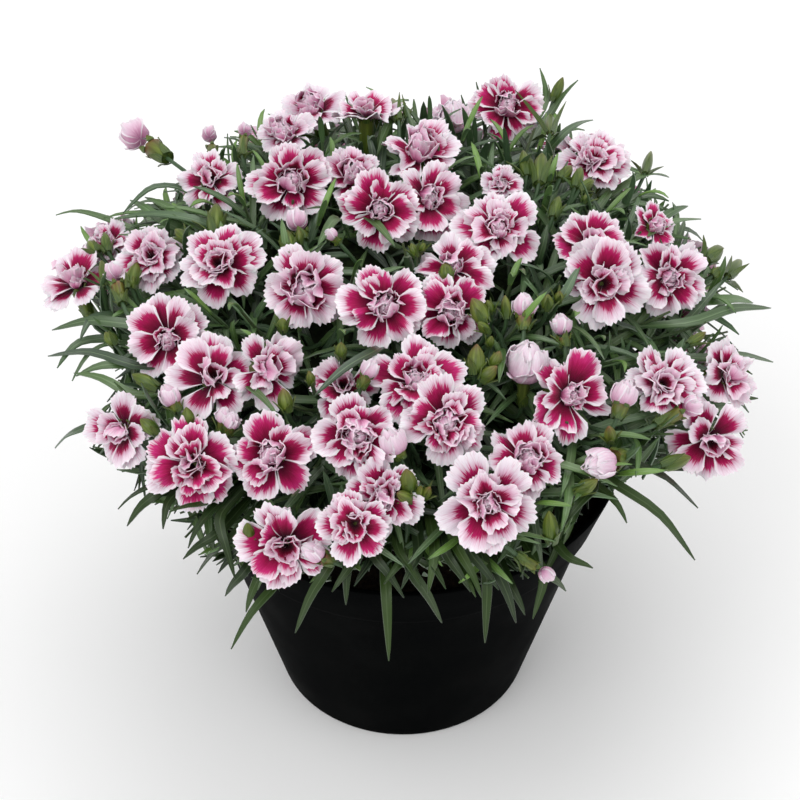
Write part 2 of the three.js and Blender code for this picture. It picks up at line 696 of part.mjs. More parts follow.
// Foliage: core, woody stems, stalks with their calyces, buds and leaves, joined as one green body
const potGuard = solidOf(turned([
  [pot.wallTopRadius - 4, pot.height - pot.collarHeight - 6],
  [pot.lipRadius + 0.8, pot.height - pot.collarHeight - 6],
  [pot.lipRadius + 0.8, pot.height + 0.8],
  [pot.wallTopRadius - 4, pot.height + 0.8],
  [pot.wallTopRadius - 4, pot.height - pot.collarHeight - 6],
], 16));
const soilGuard = solidOf(turned([
  [0, soil.top - 20], [pot.wallTopRadius, soil.top - 20], [pot.wallTopRadius, soil.top + soil.crown + 0.5],
  [0, soil.top + soil.crown + 0.5],
], 16));
const guards = [...guardsOf.flat(), ...bloomBodies, potGuard, soilGuard];

function trimClear(body, whole) {
  let kept = body;
  for (const guard of guards) {
    if (sharedVolume(kept, guard) > 0) kept = largest(kept.subtract(guard));
  }
  return kept.volume() > whole * body.volume() ? kept : null;
}

function makeFoliage() {
  const framework = [
    makeCore(),
    ...Array.from({ length: stem.count }, (_, at) => makeStem(at)),
    ...flowers.map((plan) => makeStalk(plan)),
    ...buds.map((row) => makeBud(row)),
  ];
  const blades = leaves.map(makeNamedLeaf).map((body) => trimClear(body, 0.55)).filter(Boolean);
  const draw = drawer(spread.seed);
  for (let at = 0; at < spread.count; at++) {
    for (let go = 0; go < spread.tries; go++) {
      const body = makeSpreadLeaf(at, draw);
      const blocked = guards.some((guard) => sharedVolume(body, guard) > 0)
        || blades.some((other) => sharedVolume(body, other) > spread.touch);
      if (blocked) continue;
      blades.push(body);
      break;
    }
  }
  return largest(wasm.Manifold.union([...framework, ...blades]));
}

const plant = new THREE.Group();

function addNode(name, body, finish) {
  const geometry = geometryOf(largest(body.simplify(sliver)));
  const mesh = new THREE.Mesh(geometry, new THREE.MeshStandardMaterial(finishes[finish]));
  mesh.name = name;
  plant.add(mesh);
}

addNode('pot', makePot(), 'pot');
addNode('soil', makeSoil(Array.from({ length: stem.count }, (_, at) => makeStem(at, clearance))), 'soil');
addNode('foliage', makeFoliage(), 'foliage');
for (const id of new Set(group)) {
  const members = flowers.map((_, at) => at).filter((at) => group[at] === id);
  const body = largest(wasm.Manifold.union(members.map((at) => bloomBodies[at])));
  addNode(['bloom', ...members.map((at) => flowers[at].name)].join('_'), body, 'bloom');
}

export default plant;
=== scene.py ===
import math
from functools import partial
import bpy
import numpy as np
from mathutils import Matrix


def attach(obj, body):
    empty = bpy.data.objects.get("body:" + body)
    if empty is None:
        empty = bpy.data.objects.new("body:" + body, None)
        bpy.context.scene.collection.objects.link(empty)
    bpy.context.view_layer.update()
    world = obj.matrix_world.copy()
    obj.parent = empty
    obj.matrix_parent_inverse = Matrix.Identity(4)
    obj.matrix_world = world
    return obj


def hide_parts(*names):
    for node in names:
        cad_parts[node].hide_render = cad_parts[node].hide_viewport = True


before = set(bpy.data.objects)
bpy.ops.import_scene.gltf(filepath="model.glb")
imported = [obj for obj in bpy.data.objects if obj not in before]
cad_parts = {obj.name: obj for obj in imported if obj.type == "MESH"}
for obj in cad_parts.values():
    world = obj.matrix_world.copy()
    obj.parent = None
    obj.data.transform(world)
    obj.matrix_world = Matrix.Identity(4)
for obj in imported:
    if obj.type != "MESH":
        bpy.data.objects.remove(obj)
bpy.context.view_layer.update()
print("frame loaded:", len(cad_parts), "nodes")

# All lengths below are in millimetres, and a piece is turned to metres when its mesh is made.
metre = 0.001
wholeTurn = 2 * math.pi
goldenAngle = math.pi * (3 - math.sqrt(5))

# Places on the plant are read off a drawing seen from the camera: across and down in its units
# from the top left corner, carried from the eye to the surface of the mound.
camera = {"place": (-1.2, -636.5, 695.2), "tiltDown": 41.3, "focal": 2221, "middle": 400, "sensor": 36,
          "near": 0.05, "far": 30}
mound = {"centre": (-3, 0, 170), "radius": 134, "halfHeight": 59}

tilt = math.radians(camera["tiltDown"])
eyePlace = np.array(camera["place"])
forward = np.array([0, math.cos(tilt), -math.sin(tilt)])
rightward = np.array([1.0, 0, 0])
upward = np.array([0, math.sin(tilt), math.cos(tilt)])
moundCentre = np.array(mound["centre"], float)
moundShape = np.array([mound["radius"], mound["radius"], mound["halfHeight"]], float)


def unit(way):
    return way / np.linalg.norm(way)


def onMound(across, down, lift=0.0):
    ray = unit(forward * camera["focal"] + rightward * (across - camera["middle"])
               + upward * (camera["middle"] - down))
    start = (eyePlace - moundCentre) / moundShape
    way = ray / moundShape
    along = start @ way
    inside = along * along - (way @ way) * (start @ start - 1)
    return eyePlace + ray * ((-along - math.sqrt(max(inside, 0))) / (way @ way) - lift)


def outwardAt(point):
    return unit((point - moundCentre) / moundShape ** 2)


def depthOf(point):
    return np.linalg.norm((point - moundCentre) / moundShape)


def moundPoint(turn, rise, size=1.0):
    flat = math.sqrt(1 - rise * rise)
    return moundCentre + moundShape * size * np.array([math.cos(turn) * flat, math.sin(turn) * flat, rise])


def onDrawing(points):
    ways = points - eyePlace
    depth = ways @ forward
    return np.stack([camera["middle"] + camera["focal"] * (ways @ rightward) / depth,
                     camera["middle"] - camera["focal"] * (ways @ upward) / depth], -1)


def acrossAxis(axis):
    helper = np.array([0, 0, 1.0]) if abs(axis[2]) < 0.9 else np.array([1.0, 0, 0])
    return unit(np.cross(helper, axis))


def stemRoot(point, share):
    # Where a stem that ends at the point starts, that share of the way out from the mound's middle
    return moundCentre + (point - moundCentre) * share / max(0.6, depthOf(point))


def drawer(seed):
    # A small generator of its own, so that the plan of the plant stays the same
    state, factor, modulus = [seed], 16807, 2147483647

    def draw():
        state[0] = state[0] * factor % modulus
        return state[0] / modulus
    return draw


# A part is its points, its faces, where each point lies across and along it, and four facts for its
# material: 0 on top or 1 below, a number drawn by chance, and two more. Petals, leaves and bracts
# are thin closed sheets.
sheetFaces = {}


def facesOfSheet(rows, cols):
    if (rows, cols) not in sheetFaces:
        index = np.arange(rows * cols).reshape(rows, cols)
        top = np.stack([index[:-1, :-1], index[1:, :-1], index[1:, 1:], index[:-1, 1:]], -1).reshape(-1, 4)
        under = top[:, ::-1] + rows * cols
        rim = np.concatenate([index[0, :], index[1:, -1], index[-1, -2::-1], index[-2:0:-1, 0]])
        ahead = np.roll(rim, -1)
        side = np.stack([rim, ahead, ahead + rows * cols, rim + rows * cols], -1)
        sheetFaces[rows, cols] = np.concatenate([top, under, side])
    return sheetFaces[rows, cols]


def sheetPart(grid, thickness, u, v, facts):
    rows, cols = grid.shape[:2]
    normal = np.cross(np.gradient(grid, axis=0), np.gradient(grid, axis=1))
    normal /= np.linalg.norm(normal, axis=-1, keepdims=True) + 1e-9
    points = np.concatenate([(grid + normal * thickness / 2).reshape(-1, 3),
                             (grid - normal * thickness / 2).reshape(-1, 3)])
    flat = np.stack([np.broadcast_to(u, (rows, cols)), np.broadcast_to(v, (rows, cols))], -1).reshape(-1, 2)
    side = np.repeat([0.0, 1.0], rows * cols)
    told = np.column_stack([side, np.broadcast_to(facts, (len(points), 3))])
    return points, facesOfSheet(rows, cols), np.concatenate([flat, flat]), told


def ring(radius, height, turns):
    return np.stack([radius * np.cos(turns), radius * np.sin(turns), np.broadcast_to(height, len(turns))], -1)


def wallFaces(rows, sides):
    index = np.arange(rows * sides).reshape(rows, sides)
    ahead = np.roll(index, -1, axis=1)
    return index, np.stack([index[:-1], ahead[:-1], ahead[1:], index[1:]], -1).reshape(-1, 4)


def closedFaces(rows, sides):
    # The wall through the rings, and a fan at each end on a middle point that follows them
    index, wall = wallFaces(rows, sides)
    low, high = rows * sides, rows * sides + 1
    fans = []
    for at in range(0, sides, 2):
        fans.append([low, index[0, (at + 2) % sides], index[0, at + 1], index[0, at]])
        fans.append([high, index[-1, at], index[-1, at + 1], index[-1, (at + 2) % sides]])
    return np.concatenate([wall, fans])


def tubePart(centres, axes, radii, sides, facts):
    rows = len(centres)
    turns = np.arange(sides) / sides * wholeTurn
    rings = np.empty((rows, sides, 3))
    lead = acrossAxis(axes[0])
    for at in range(rows):
        lead = unit(lead - axes[at] * (lead @ axes[at]))
        other = np.cross(axes[at], lead)
        around = np.outer(np.cos(turns), lead) + np.outer(np.sin(turns), other)
        rings[at] = centres[at] + np.reshape(radii[at], (-1, 1)) * around
    points = np.concatenate([rings.reshape(-1, 3), [centres[0]], [centres[-1]]])
    u = np.broadcast_to(np.arange(sides) / sides, (rows, sides))
    v = np.broadcast_to(np.linspace(0, 1, rows)[:, None], (rows, sides))
    flat = np.concatenate([np.stack([u, v], -1).reshape(-1, 2), [[0, 0], [0, 1]]])
    told = np.column_stack([np.zeros(len(points)), np.broadcast_to(facts, (len(points), 3))])
    return points, closedFaces(rows, sides), flat, told


def makePiece(name, parts, material, replaced, sharpness=50):
    starts = np.cumsum([0] + [len(part[0]) for part in parts])
    points = np.concatenate([part[0] for part in parts]) * metre
    faces = np.concatenate([part[1] + start for part, start in zip(parts, starts)])
    mesh = bpy.data.meshes.new(name)
    mesh.from_pydata(points, [], faces.tolist())
    flat = np.concatenate([part[2] for part in parts])[faces.reshape(-1)]
    mesh.uv_layers.new(name="along").data.foreach_set("uv", flat.reshape(-1))
    told = np.concatenate([part[3] for part in parts])
    facts = mesh.attributes.new("facts", "FLOAT_COLOR", "POINT")
    facts.data.foreach_set("color", told.astype(np.float32).reshape(-1))
    piece = bpy.data.objects.new(name, mesh)
    bpy.context.scene.collection.objects.link(piece)
    finishPiece(piece, material, replaced, sharpness)


def finishPiece(piece, material, replaced, sharpness):
    mesh = piece.data
    mesh.polygons.foreach_set("use_smooth", np.ones(len(mesh.polygons), bool))
    mesh.set_sharp_from_angle(angle=math.radians(sharpness))
    mesh.materials.append(material)
    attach(piece, "root")
    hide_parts(replaced)


def toLinear(colour):
    parts = [int(colour[at:at + 2], 16) / 255 for at in (1, 3, 5)]
    return (*[part / 12.92 if part <= 0.04045 else ((part + 0.055) / 1.055) ** 2.4 for part in parts], 1.0)


def addNode(tree, kind, inputs=(), stops=(), **settings):
    # Inputs stand in order or by name. Each takes a value, a "#" colour, or the node or socket that
    # feeds it. A Mix of colours has its amount in 0 and its colours in 6 and 7, and a MapRange the
    # low and high of its value in 1 and 2 and what it makes of them in 3 and 4.
    node = tree.nodes.new("ShaderNode" + kind)
    for name, value in settings.items():
        setattr(node, name, value)
    for name, value in inputs.items() if isinstance(inputs, dict) else enumerate(inputs):
        if isinstance(value, bpy.types.Node):
            value = next(output for output in value.outputs if output.enabled)
        if isinstance(value, bpy.types.NodeSocket):
            tree.links.new(value, node.inputs[name])
        else:
            node.inputs[name].default_value = toLinear(value) if isinstance(value, str) else value
    for at, (place, colour) in enumerate(stops):
        band = node.color_ramp.elements
        if at == 0:
            band.remove(band[1])
            band[0].position = place
        (band[0] if at == 0 else band.new(place)).color = toLinear(colour)
    return node


def newMaterial(name):
    material = bpy.data.materials.new(name)
    material.use_nodes = True
    material.node_tree.nodes.clear()
    return material, partial(addNode, material.node_tree)


def readPart(add):
    # Where a point lies across and along its part, and the part's four facts
    place = add("SeparateXYZ", [add("UVMap", uv_map="along")])
    facts = add("Attribute", attribute_type="GEOMETRY", attribute_name="facts")
    told = add("SeparateColor", [facts.outputs["Color"]])
    return place.outputs[0], place.outputs[1], *[told.outputs[at] for at in range(3)], facts.outputs["Alpha"]


def drawnOut(add, places, cells):
    # So many cells of noise across a part and along it, and from one chance to the next
    return add("CombineXYZ", [add("Math", [place, count], operation="MULTIPLY")
                              for place, count in zip(places, cells)])


def closeMaterial(add, colour, height, relief, skin):
    bump = add("Bump", {"Height": height, "Distance": relief * metre, "Strength": 1.0})
    shader = add("BsdfPrincipled", {"Base Color": colour, "Normal": bump, **skin})
    add("OutputMaterial", {"Surface": shader})


# Dianthus petal: living tissue with a velvety matt skin. The crimson eye ends in fine rays along the
# petal's veins, the margin is white to pale lilac, and the underside is a dull mauve pink.
petalLooks = {
    "eye": [(0.0, "#2e0119"), (0.25, "#4f0125"), (0.48, "#7a0235"), (0.66, "#a20c50"), (0.85, "#c42c76")],
    "under": [(0.0, "#6b1142"), (0.2, "#97306a"), (0.42, "#c284a8"), (0.66, "#dcbccf"), (1.0, "#f0e4ec")],
    "blush": "#b9447f", "pale": "#d5c1cf", "rim": "#f1e9ef", "vein": "#96396a",
    "heart": "#ffc6e2",       # light that has passed through the folded petals of the heart comes out pinker
    # Noise cells over half a petal 20 mm wide, about one ray to 2 mm, then along it and by chance
    "cells": (10.5, 1.6, 57.0), "noise": {"Detail": 2.0, "Roughness": 0.6}, "scale": 1.0, "fineScale": 2.7,
    "rayLength": 0.34, "fineLength": 0.28,      # how far the rays run past the mean end of the eye
    "sideCurve": 3.2, "sideShort": -0.2,        # the eye ends sooner towards the sides
    "eyeEdge": (-0.03, 0.045), "blushEdge": (-0.16, 0.02, 0.0, 0.5),
    "marginWidens": 0.12, "marginEdge": (0.93, 0.99), "rimEdge": (0.62, 0.97),
    "lineEdge": (0.52, 0.66, 0.0, 0.24), "veinEdge": (0.6, 0.74, 0.0, 0.3),
    "ramps": {"eye": (0.34, 0.17), "under": (0.5, 0.25)},     # how far noise shifts each ramp, and its start
    "underMargin": 0.75, "heartAtRim": -0.75, "relief": 0.2,
    "skin": {"Roughness": 0.62, "Specular IOR Level": 0.14, "Subsurface Weight": 0.4,
             "Subsurface Radius": (1.0, 0.6, 0.75), "Subsurface Scale": 0.6 * metre, "Sheen Weight": 0.08},
}


def makePetalMaterial():
    looks = petalLooks
    material, add = newMaterial("fresh dianthus petal")
    sideways, out, side, chance, eye, heart = readPart(add)
    across = add("Math", [sideways, 2.0, -1.0], operation="MULTIPLY_ADD")
    fromMiddle = add("Math", [across], operation="ABSOLUTE")
    # Noise drawn out along the petal gives the rays
    rayPlace = drawnOut(add, [across, out, chance], looks["cells"])
    rays, fineRays = [add("TexNoise", {"Vector": rayPlace, "Scale": looks[scale], **looks["noise"]})
                      for scale in ("scale", "fineScale")]
    ends = eye
    for noise, length in ((rays, "rayLength"), (fineRays, "fineLength")):
        swing = add("Math", [noise, 0.5], operation="SUBTRACT")
        ends = add("Math", [swing, looks[length], ends], operation="MULTIPLY_ADD")
    rounded = add("Math", [fromMiddle, looks["sideCurve"]], operation="POWER")
    ends = add("Math", [rounded, looks["sideShort"], ends], operation="MULTIPLY_ADD")
    gap = add("Math", [ends, out], operation="SUBTRACT")
    inEye, inBlush = [add("MapRange", [gap, *looks[edge]]) for edge in ("eyeEdge", "blushEdge")]
    # The white margin runs down both side edges, widest at the rim
    margin = add("Math", [out, looks["marginWidens"], fromMiddle], operation="MULTIPLY_ADD")
    margin = add("MapRange", [margin, *looks["marginEdge"]])
    inside = add("Math", [1.0, margin], operation="SUBTRACT")
    edged = add("MapRange", [out, *looks["rimEdge"]])
    edged = add("Math", [edged, margin], operation="MAXIMUM")
    lines = add("MapRange", [fineRays, *looks["lineEdge"]])
    blush = add("Math", [inBlush, lines], operation="MAXIMUM")
    blush, inEye = [add("Math", [amount, inside], operation="MULTIPLY") for amount in (blush, inEye)]
    tones = {}
    for name, (swing, start) in looks["ramps"].items():
        place = add("Math", [out, start], operation="SUBTRACT")
        place = add("Math", [fineRays, swing, place], operation="MULTIPLY_ADD")
        tones[name] = add("ValToRGB", [place], stops=looks[name])
    top = looks["pale"]
    for amount, over in ((edged, looks["rim"]), (blush, looks["blush"]), (inEye, tones["eye"])):
        top = add("Mix", {0: amount, 6: top, 7: over}, data_type="RGBA")
    under = tones["under"]
    vein = add("MapRange", [rays, *looks["veinEdge"]])
    paleEdge = add("Math", [margin, looks["underMargin"]], operation="MULTIPLY")
    for amount, over in ((vein, looks["vein"]), (paleEdge, looks["rim"])):
        under = add("Mix", {0: amount, 6: under, 7: over}, data_type="RGBA")
    tinged = add("Math", [edged, looks["heartAtRim"], 1.0], operation="MULTIPLY_ADD")
    tinged = add("Math", [tinged, heart], operation="MULTIPLY")
    colour = add("Mix", {0: side, 6: top, 7: under}, data_type="RGBA")
    colour = add("Mix", {0: tinged, 6: colour, 7: looks["heart"]}, data_type="RGBA", blend_type="MULTIPLY")
    closeMaterial(add, colour, fineRays, looks["relief"], looks["skin"])
    return material


# Leaf: a narrow blade with a blue-grey bloom of wax, streaky along its veins, and a paler midrib.
# Leaves low on the plant are duller and darker: partly as older leaves, partly as painted shade where the
# mound shades them.
leafLooks = {
    "old": "#1e3020", "grown": "#34512f", "wax": "#6a8566", "young": "#709a35", "rib": "#93ae80",
    "under": "#53704f", "dullAndShaded": "#6f7253",
    # A streak to a third of a millimetre across the blade
    "cells": (12.0, 1.8, 91.0), "noise": {"Scale": 1.0, "Detail": 3.0},
    "waxEdge": (0.36, 0.7, 0.0), "waxShare": (0.5, 0.12), "ribEdge": (0.08, 0.02, 0.0, 0.3),
    "underShare": 0.55, "relief": 0.15, "roughness": 0.36, "specular": (0.0, 1.0, 0.12, 0.8),
}


def makeLeafMaterial():
    looks = leafLooks
    material, add = newMaterial("waxy blue-green leaf")
    across, along, under, chance, young, freshAndLit = readPart(add)
    streakPlace = drawnOut(add, [across, along, chance], looks["cells"])
    streaks = add("TexNoise", {"Vector": streakPlace, **looks["noise"]})
    waxy = add("Math", [chance, *looks["waxShare"]], operation="MULTIPLY_ADD")
    wax = add("MapRange", [streaks, *looks["waxEdge"], waxy])
    rib = add("Math", [across, 0.5], operation="SUBTRACT")
    rib = add("Math", [rib], operation="ABSOLUTE")
    rib = add("MapRange", [rib, *looks["ribEdge"]])
    back = add("Math", [under, looks["underShare"]], operation="MULTIPLY")
    dullAndShaded = add("Math", [1.0, freshAndLit], operation="SUBTRACT")
    colour = looks["old"]
    for amount, over in zip((chance, wax, young, rib, back), ("grown", "wax", "young", "rib", "under")):
        colour = add("Mix", {0: amount, 6: colour, 7: looks[over]}, data_type="RGBA")
    # Painted shade: low leaves are multiplied darker, besides their older colour
    colour = add("Mix", {0: dullAndShaded, 6: colour, 7: looks["dullAndShaded"]}, data_type="RGBA", blend_type="MULTIPLY")
    gloss = add("MapRange", [freshAndLit, *looks["specular"]])
    closeMaterial(add, colour, streaks, looks["relief"],
                  {"Roughness": looks["roughness"], "Specular IOR Level": gloss})
    return material


# Calyx and bud: smooth ribbed skin, yellow-green where it is young, tanned where the sepals meet
budLooks = {
    "length": [(0.0, "#2d4419"), (0.3, "#435918"), (0.6, "#54591f"), (0.8, "#624a28"), (1.0, "#845242")],
    "rib": "#7b8a35", "stalk": "#40593a",
    "cells": (14.0, 1.5, 40.0),      # fourteen ribs round a bud, 1.5 mm each
    "noise": {"Scale": 1.0, "Detail": 2.0},
    "ripening": (0.45, 0.62),      # some stay green and others tan early
    "ribEdge": (0.42, 0.7, 0.0, 0.55), "relief": 0.25, "skin": {"Roughness": 0.38, "Specular IOR Level": 0.4},
}


def makeBudMaterial():
    looks = budLooks
    material, add = newMaterial("green bud skin")
    around, along, _, chance, tanned, _ = readPart(add)
    ribPlace = drawnOut(add, [around, along, chance], looks["cells"])
    ribs = add("TexNoise", {"Vector": ribPlace, **looks["noise"]})
    ripe = add("Math", [chance, *looks["ripening"]], operation="MULTIPLY_ADD")
    ripe = add("Math", [ripe, along], operation="MULTIPLY")
    ribbed = add("MapRange", [ribs, *looks["ribEdge"]])
    colour = add("ValToRGB", [ripe], stops=looks["length"])
    colour = add("Mix", {0: ribbed, 6: colour, 7: looks["rib"]}, data_type="RGBA")
    colour = add("Mix", {0: tanned, 6: looks["stalk"], 7: colour}, data_type="RGBA")
    closeMaterial(add, colour, ribs, looks["relief"], looks["skin"])
    return material


# Pot: injection-moulded polypropylene from a spark-eroded mould, so matt black with a faint speckle
potLooks = {
    "plastic": "#010202", "dust": "#07080a", "grain": 0.9, "patch": 28.0, "speckEdge": (0.6, 0.8),
    "speckShare": 0.3, "dustEdge": (0.45, 0.75, 0.0, 0.3), "roughness": (0.3, 0.7, 0.5, 0.68),
    "specular": 0.01, "relief": 0.05,
}


def makePotMaterial():
    looks = potLooks
    material, add = newMaterial("matt black moulded polypropylene")
    where = add("TexCoord").outputs["Object"]
    grain, patches = [add("TexNoise", {"Vector": where, "Scale": 1 / (looks[size] * metre), "Detail": detail})
                      for size, detail in (("grain", 2.0), ("patch", 4.0))]
    specks = add("MapRange", [grain, *looks["speckEdge"]])
    dusty = add("MapRange", [patches, *looks["dustEdge"]])
    dusty = add("Math", [specks, looks["speckShare"], dusty], operation="MULTIPLY_ADD", use_clamp=True)
    colour = add("Mix", {0: dusty, 6: looks["plastic"], 7: looks["dust"]}, data_type="RGBA")
    roughness = add("MapRange", [patches, *looks["roughness"]])
    closeMaterial(add, colour, grain, looks["relief"],
                  {"Roughness": roughness, "Specular IOR Level": looks["specular"]})
    return material


# Potting soil: moist sieved peat with wood fibre. The dark peat is made darker still, near black, as painted
# shade, and its dark tone lies in the hollows of the relief, also painted shade.
soilLooks = {"dark": "#130d09", "light": "#33261a", "grain": 2.2, "noise": {"Detail": 5.0, "Roughness": 0.7},
             "lightEdge": (0.45, 0.72), "relief": 0.6, "skin": {"Roughness": 0.95, "Specular IOR Level": 0.2}}
# A dark body packs the middle of the mound in place of its shaded old leaves and stems. Its near-black colour
# is painted shade, so only dark shows between the shoots
shadedCoreLooks = {"dark": "#151b10", "light": "#2a371c", "grain": 3.5, "noise": {"Detail": 3.0},
               "lightEdge": (0.45, 0.7), "relief": 1.0, "skin": {"Roughness": 0.9, "Specular IOR Level": 0.1}}


def makeLooseMaterial(name, looks):
    # Two tones and a relief that follow one noise, its grain as wide as a crumb or a blade: the dark tone
    # lies in the hollows of the relief as painted shade
    material, add = newMaterial(name)
    where = add("TexCoord").outputs["Object"]
    grain = add("TexNoise", {"Vector": where, "Scale": 1 / (looks["grain"] * metre), **looks["noise"]})
    light = add("MapRange", [grain, *looks["lightEdge"]])
    colour = add("Mix", {0: light, 6: looks["dark"], 7: looks["light"]}, data_type="RGBA")
    closeMaterial(add, colour, grain, looks["relief"], looks["skin"])
    return material


petalSkin = makePetalMaterial()
leafSkin = makeLeafMaterial()
budSkin = makeBudMaterial()
potPlastic = makePotMaterial()
peat = makeLooseMaterial("moist peat potting soil", soilLooks)
shadedCoreSkin = makeLooseMaterial("dark leaf core in painted shade", shadedCoreLooks)
print("materials made")

# Blooms: across, down, how far the face turns right and up, diameter, lift out of the mound, then
# whorls of petals, how many of the inner petals fold up over the heart, and how large the folded
# heart is as a share of the bloom
blooms = [
    (316, 112, -0.25, 0.65, 25, 0, 2, 2, 0.5), (355, 112, 0.0, 0.88, 29, 0, 2, 0, 0.2),
    (507, 110, 0.0, 0.15, 29, 0, 2, 0, 0.46), (595, 155, 0.1, 0.6, 31, 0, 4, 0, 0.2),
    (270, 130, -0.2, 0.6, 21, -4, 3, 2, 0.5), (209, 177, -0.15, 0.35, 27, 0, 2, 1, 0.2),
    (289, 181, 0.0, 0.15, 34, 0, 2, 0, 0.42), (422, 145, 0.05, 0.6, 34, -2, 2, 2, 0.46),
    (352, 172, 0.0, 0.35, 26, -7, 2, 1, 0.5), (433, 198, 0.45, 0.1, 31, -1, 2, 0, 0.36),
    (380, 210, 0.0, -0.05, 33, 2, 2, 0, 0.32), (498, 224, 0.0, 0.35, 34, 0, 3, 0, 0.3),
    (502, 182, 0.0, 0.4, 18, -7, 3, 1, 0.3), (590, 240, 0.1, 0.35, 28, -2, 2, 0, 0.25),
    (605, 282, 0.1, 0.0, 34, 1, 3, 0, 0.26), (672, 279, 0.35, -0.2, 32, 0, 3, 0, 0.3),
    (657, 224, 0.55, 0.3, 20, 0, 2, 1, 0.4), (73, 276, -0.2, 0.7, 30, 0, 2, 2, 0.3),
    (106, 240, -0.4, 0.4, 20, -3, 3, 1, 0.4), (150, 256, -0.1, 0.2, 27, 0, 4, 0, 0.2),
    (221, 260, -0.1, 0.3, 33, 0, 4, 0, 0.2), (304, 288, 0.0, 0.0, 33, 1, 2, 0, 0.56),
    (384, 304, 0.0, 0.0, 33, 1, 2, 0, 0.4), (454, 262, 0.0, 0.5, 32, -2, 2, 1, 0.3),
    (452, 310, 0.1, 0.1, 29, -4, 2, 1, 0.5), (164, 336, -0.2, 0.0, 34, 0, 2, 0, 0.3),
    (211, 375, -0.1, 0.35, 34, 0, 2, 1, 0.16), (272, 369, 0.5, 0.0, 29, -5, 3, 2, 0.3),
    (415, 375, 0.0, 0.45, 35, 0, 3, 0, 0.36), (447, 422, 0.1, -0.1, 34, 1, 3, 0, 0.4),
    (574, 395, 0.45, 0.0, 34, 0, 2, 1, 0.3), (668, 380, 0.3, 0.3, 31, 0, 4, 0, 0.2),
    (733, 373, 0.6, 0.1, 29, 0, 3, 1, 0.24), (711, 442, 0.05, -0.3, 32, 0, 2, 1, 0.26),
    (355, 436, 0.0, -0.1, 32, 1, 3, 1, 0.5), (344, 384, 0.0, 0.4, 26, -9, 2, 1, 0.2),
    (271, 458, -0.1, 0.0, 33, 0, 2, 1, 0.46), (188, 465, -0.2, -0.1, 35, 0, 4, 0, 0.16),
    (117, 431, -0.45, -0.1, 29, 0, 2, 1, 0.2), (527, 458, 0.15, 0.4, 30, -1, 2, 0, 0.46),
    (491, 506, 0.05, -0.15, 36, 2, 3, 0, 0.3), (385, 498, 0.0, -0.1, 29, -1, 3, 2, 0.2),
    (354, 528, -0.1, -0.2, 27, 0, 3, 0, 0.26), (284, 549, -0.1, -0.35, 34, 0, 3, 0, 0.26),
]
# The same for half-open flowers, up to the lift, and how many outer petals each has let go
halfOpen = [(452, 107, 0.0, 0.5, 17, 0, 9), (527, 356, 0.1, 0.2, 16, -2, 2)]
standing = {"upright": 0.55, "halfBase": 0.6, "base": 0.2, "seed": 101, "seedStep": 37}

# The blooms of the far side stand on a golden-angle lattice wherever there is room
hidden = {"lattice": 420, "top": 0.98, "span": 1.42, "room": 30, "front": -30, "turnedAway": -0.1,
          "mostTurned": 0.45, "passing": 0.9, "sink": 6, "seed": 4321, "width": 27, "wider": 8,
          "lean": 0.5, "up": 0.25, "moreUp": 0.3, "nearer": 4, "covers": 0.42}
# Blooms of the far side that stand so much closer to the mound's middle
drawnIn = {57: 10, 58: 21, 61: 16, 63: 18}
# Blooms of the crown that stand a little off their place in the table: right, back, up, and their width
nudged = {1: (-2.0, 2.2, 2.5, 29), 2: (4.2, 1.6, 1.9, 29), 5: (5.5, 0.0, 0.5, 26), 3: (0.0, 1.0, 1.0, 31)}
layering = {"rounds": 24, "slope": 0.55, "least": 0.5, "step": 0.2}
byChance = {"seed": 8, "whorls": [2, 2, 3], "folded": (0, 2), "heart": (0.2, 0.45)}


def planFlower(across, down, right, up, width, lift, character=None, half=0):
    eye = onMound(across, down, lift)
    toward = math.sqrt(1 - right * right - up * up)
    axis = unit(-forward * toward + rightward * right + upward * up)
    return {"eye": eye, "axis": axis, "way": unit(eyePlace - eye), "width": width, "half": half,
            "away": False, "character": character}


def standsBefore(flower, point):
    sight = point - eyePlace
    nearer = flower["eye"] - eyePlace
    along = nearer @ sight / np.linalg.norm(sight)
    beside = math.sqrt(max(nearer @ nearer - along * along, 0))
    return along < np.linalg.norm(sight) - hidden["nearer"] and beside < flower["width"] * hidden["covers"]


def passingAt(point):
    start = (eyePlace - moundCentre) / moundShape
    way = unit((point - eyePlace) / moundShape)
    return np.linalg.norm(start - way * (start @ way))


def hiddenBlooms(shown):
    draw = drawer(hidden["seed"])
    found = []
    for at in range(hidden["lattice"]):
        rise = hidden["top"] - hidden["span"] * ((at + 0.5) / hidden["lattice"])
        eye = moundPoint(at * goldenAngle, rise)
        width = hidden["width"] + hidden["wider"] * draw()
        out = outwardAt(eye)
        seen = out @ unit(eyePlace - eye)
        crowded = any(np.linalg.norm(other["eye"] - eye) < hidden["room"] for other in shown + found)
        covered = any(standsBefore(other, eye) for other in shown)
        behind = seen < hidden["turnedAway"] and passingAt(eye) < hidden["passing"]
        under = covered and seen < hidden["mostTurned"]
        if crowded or eye[1] < hidden["front"] or not (behind or under):
            continue
        if not behind:
            eye = eye - out * hidden["sink"]
        lean = [(draw() - 0.5) * hidden["lean"], (draw() - 0.5) * hidden["lean"],
                hidden["up"] + hidden["moreUp"] * draw()]
        axis = unit(out + np.array(lean))
        found.append({"eye": eye, "axis": axis, "way": axis, "width": width, "half": 0, "away": True,
                      "character": None})
    return found


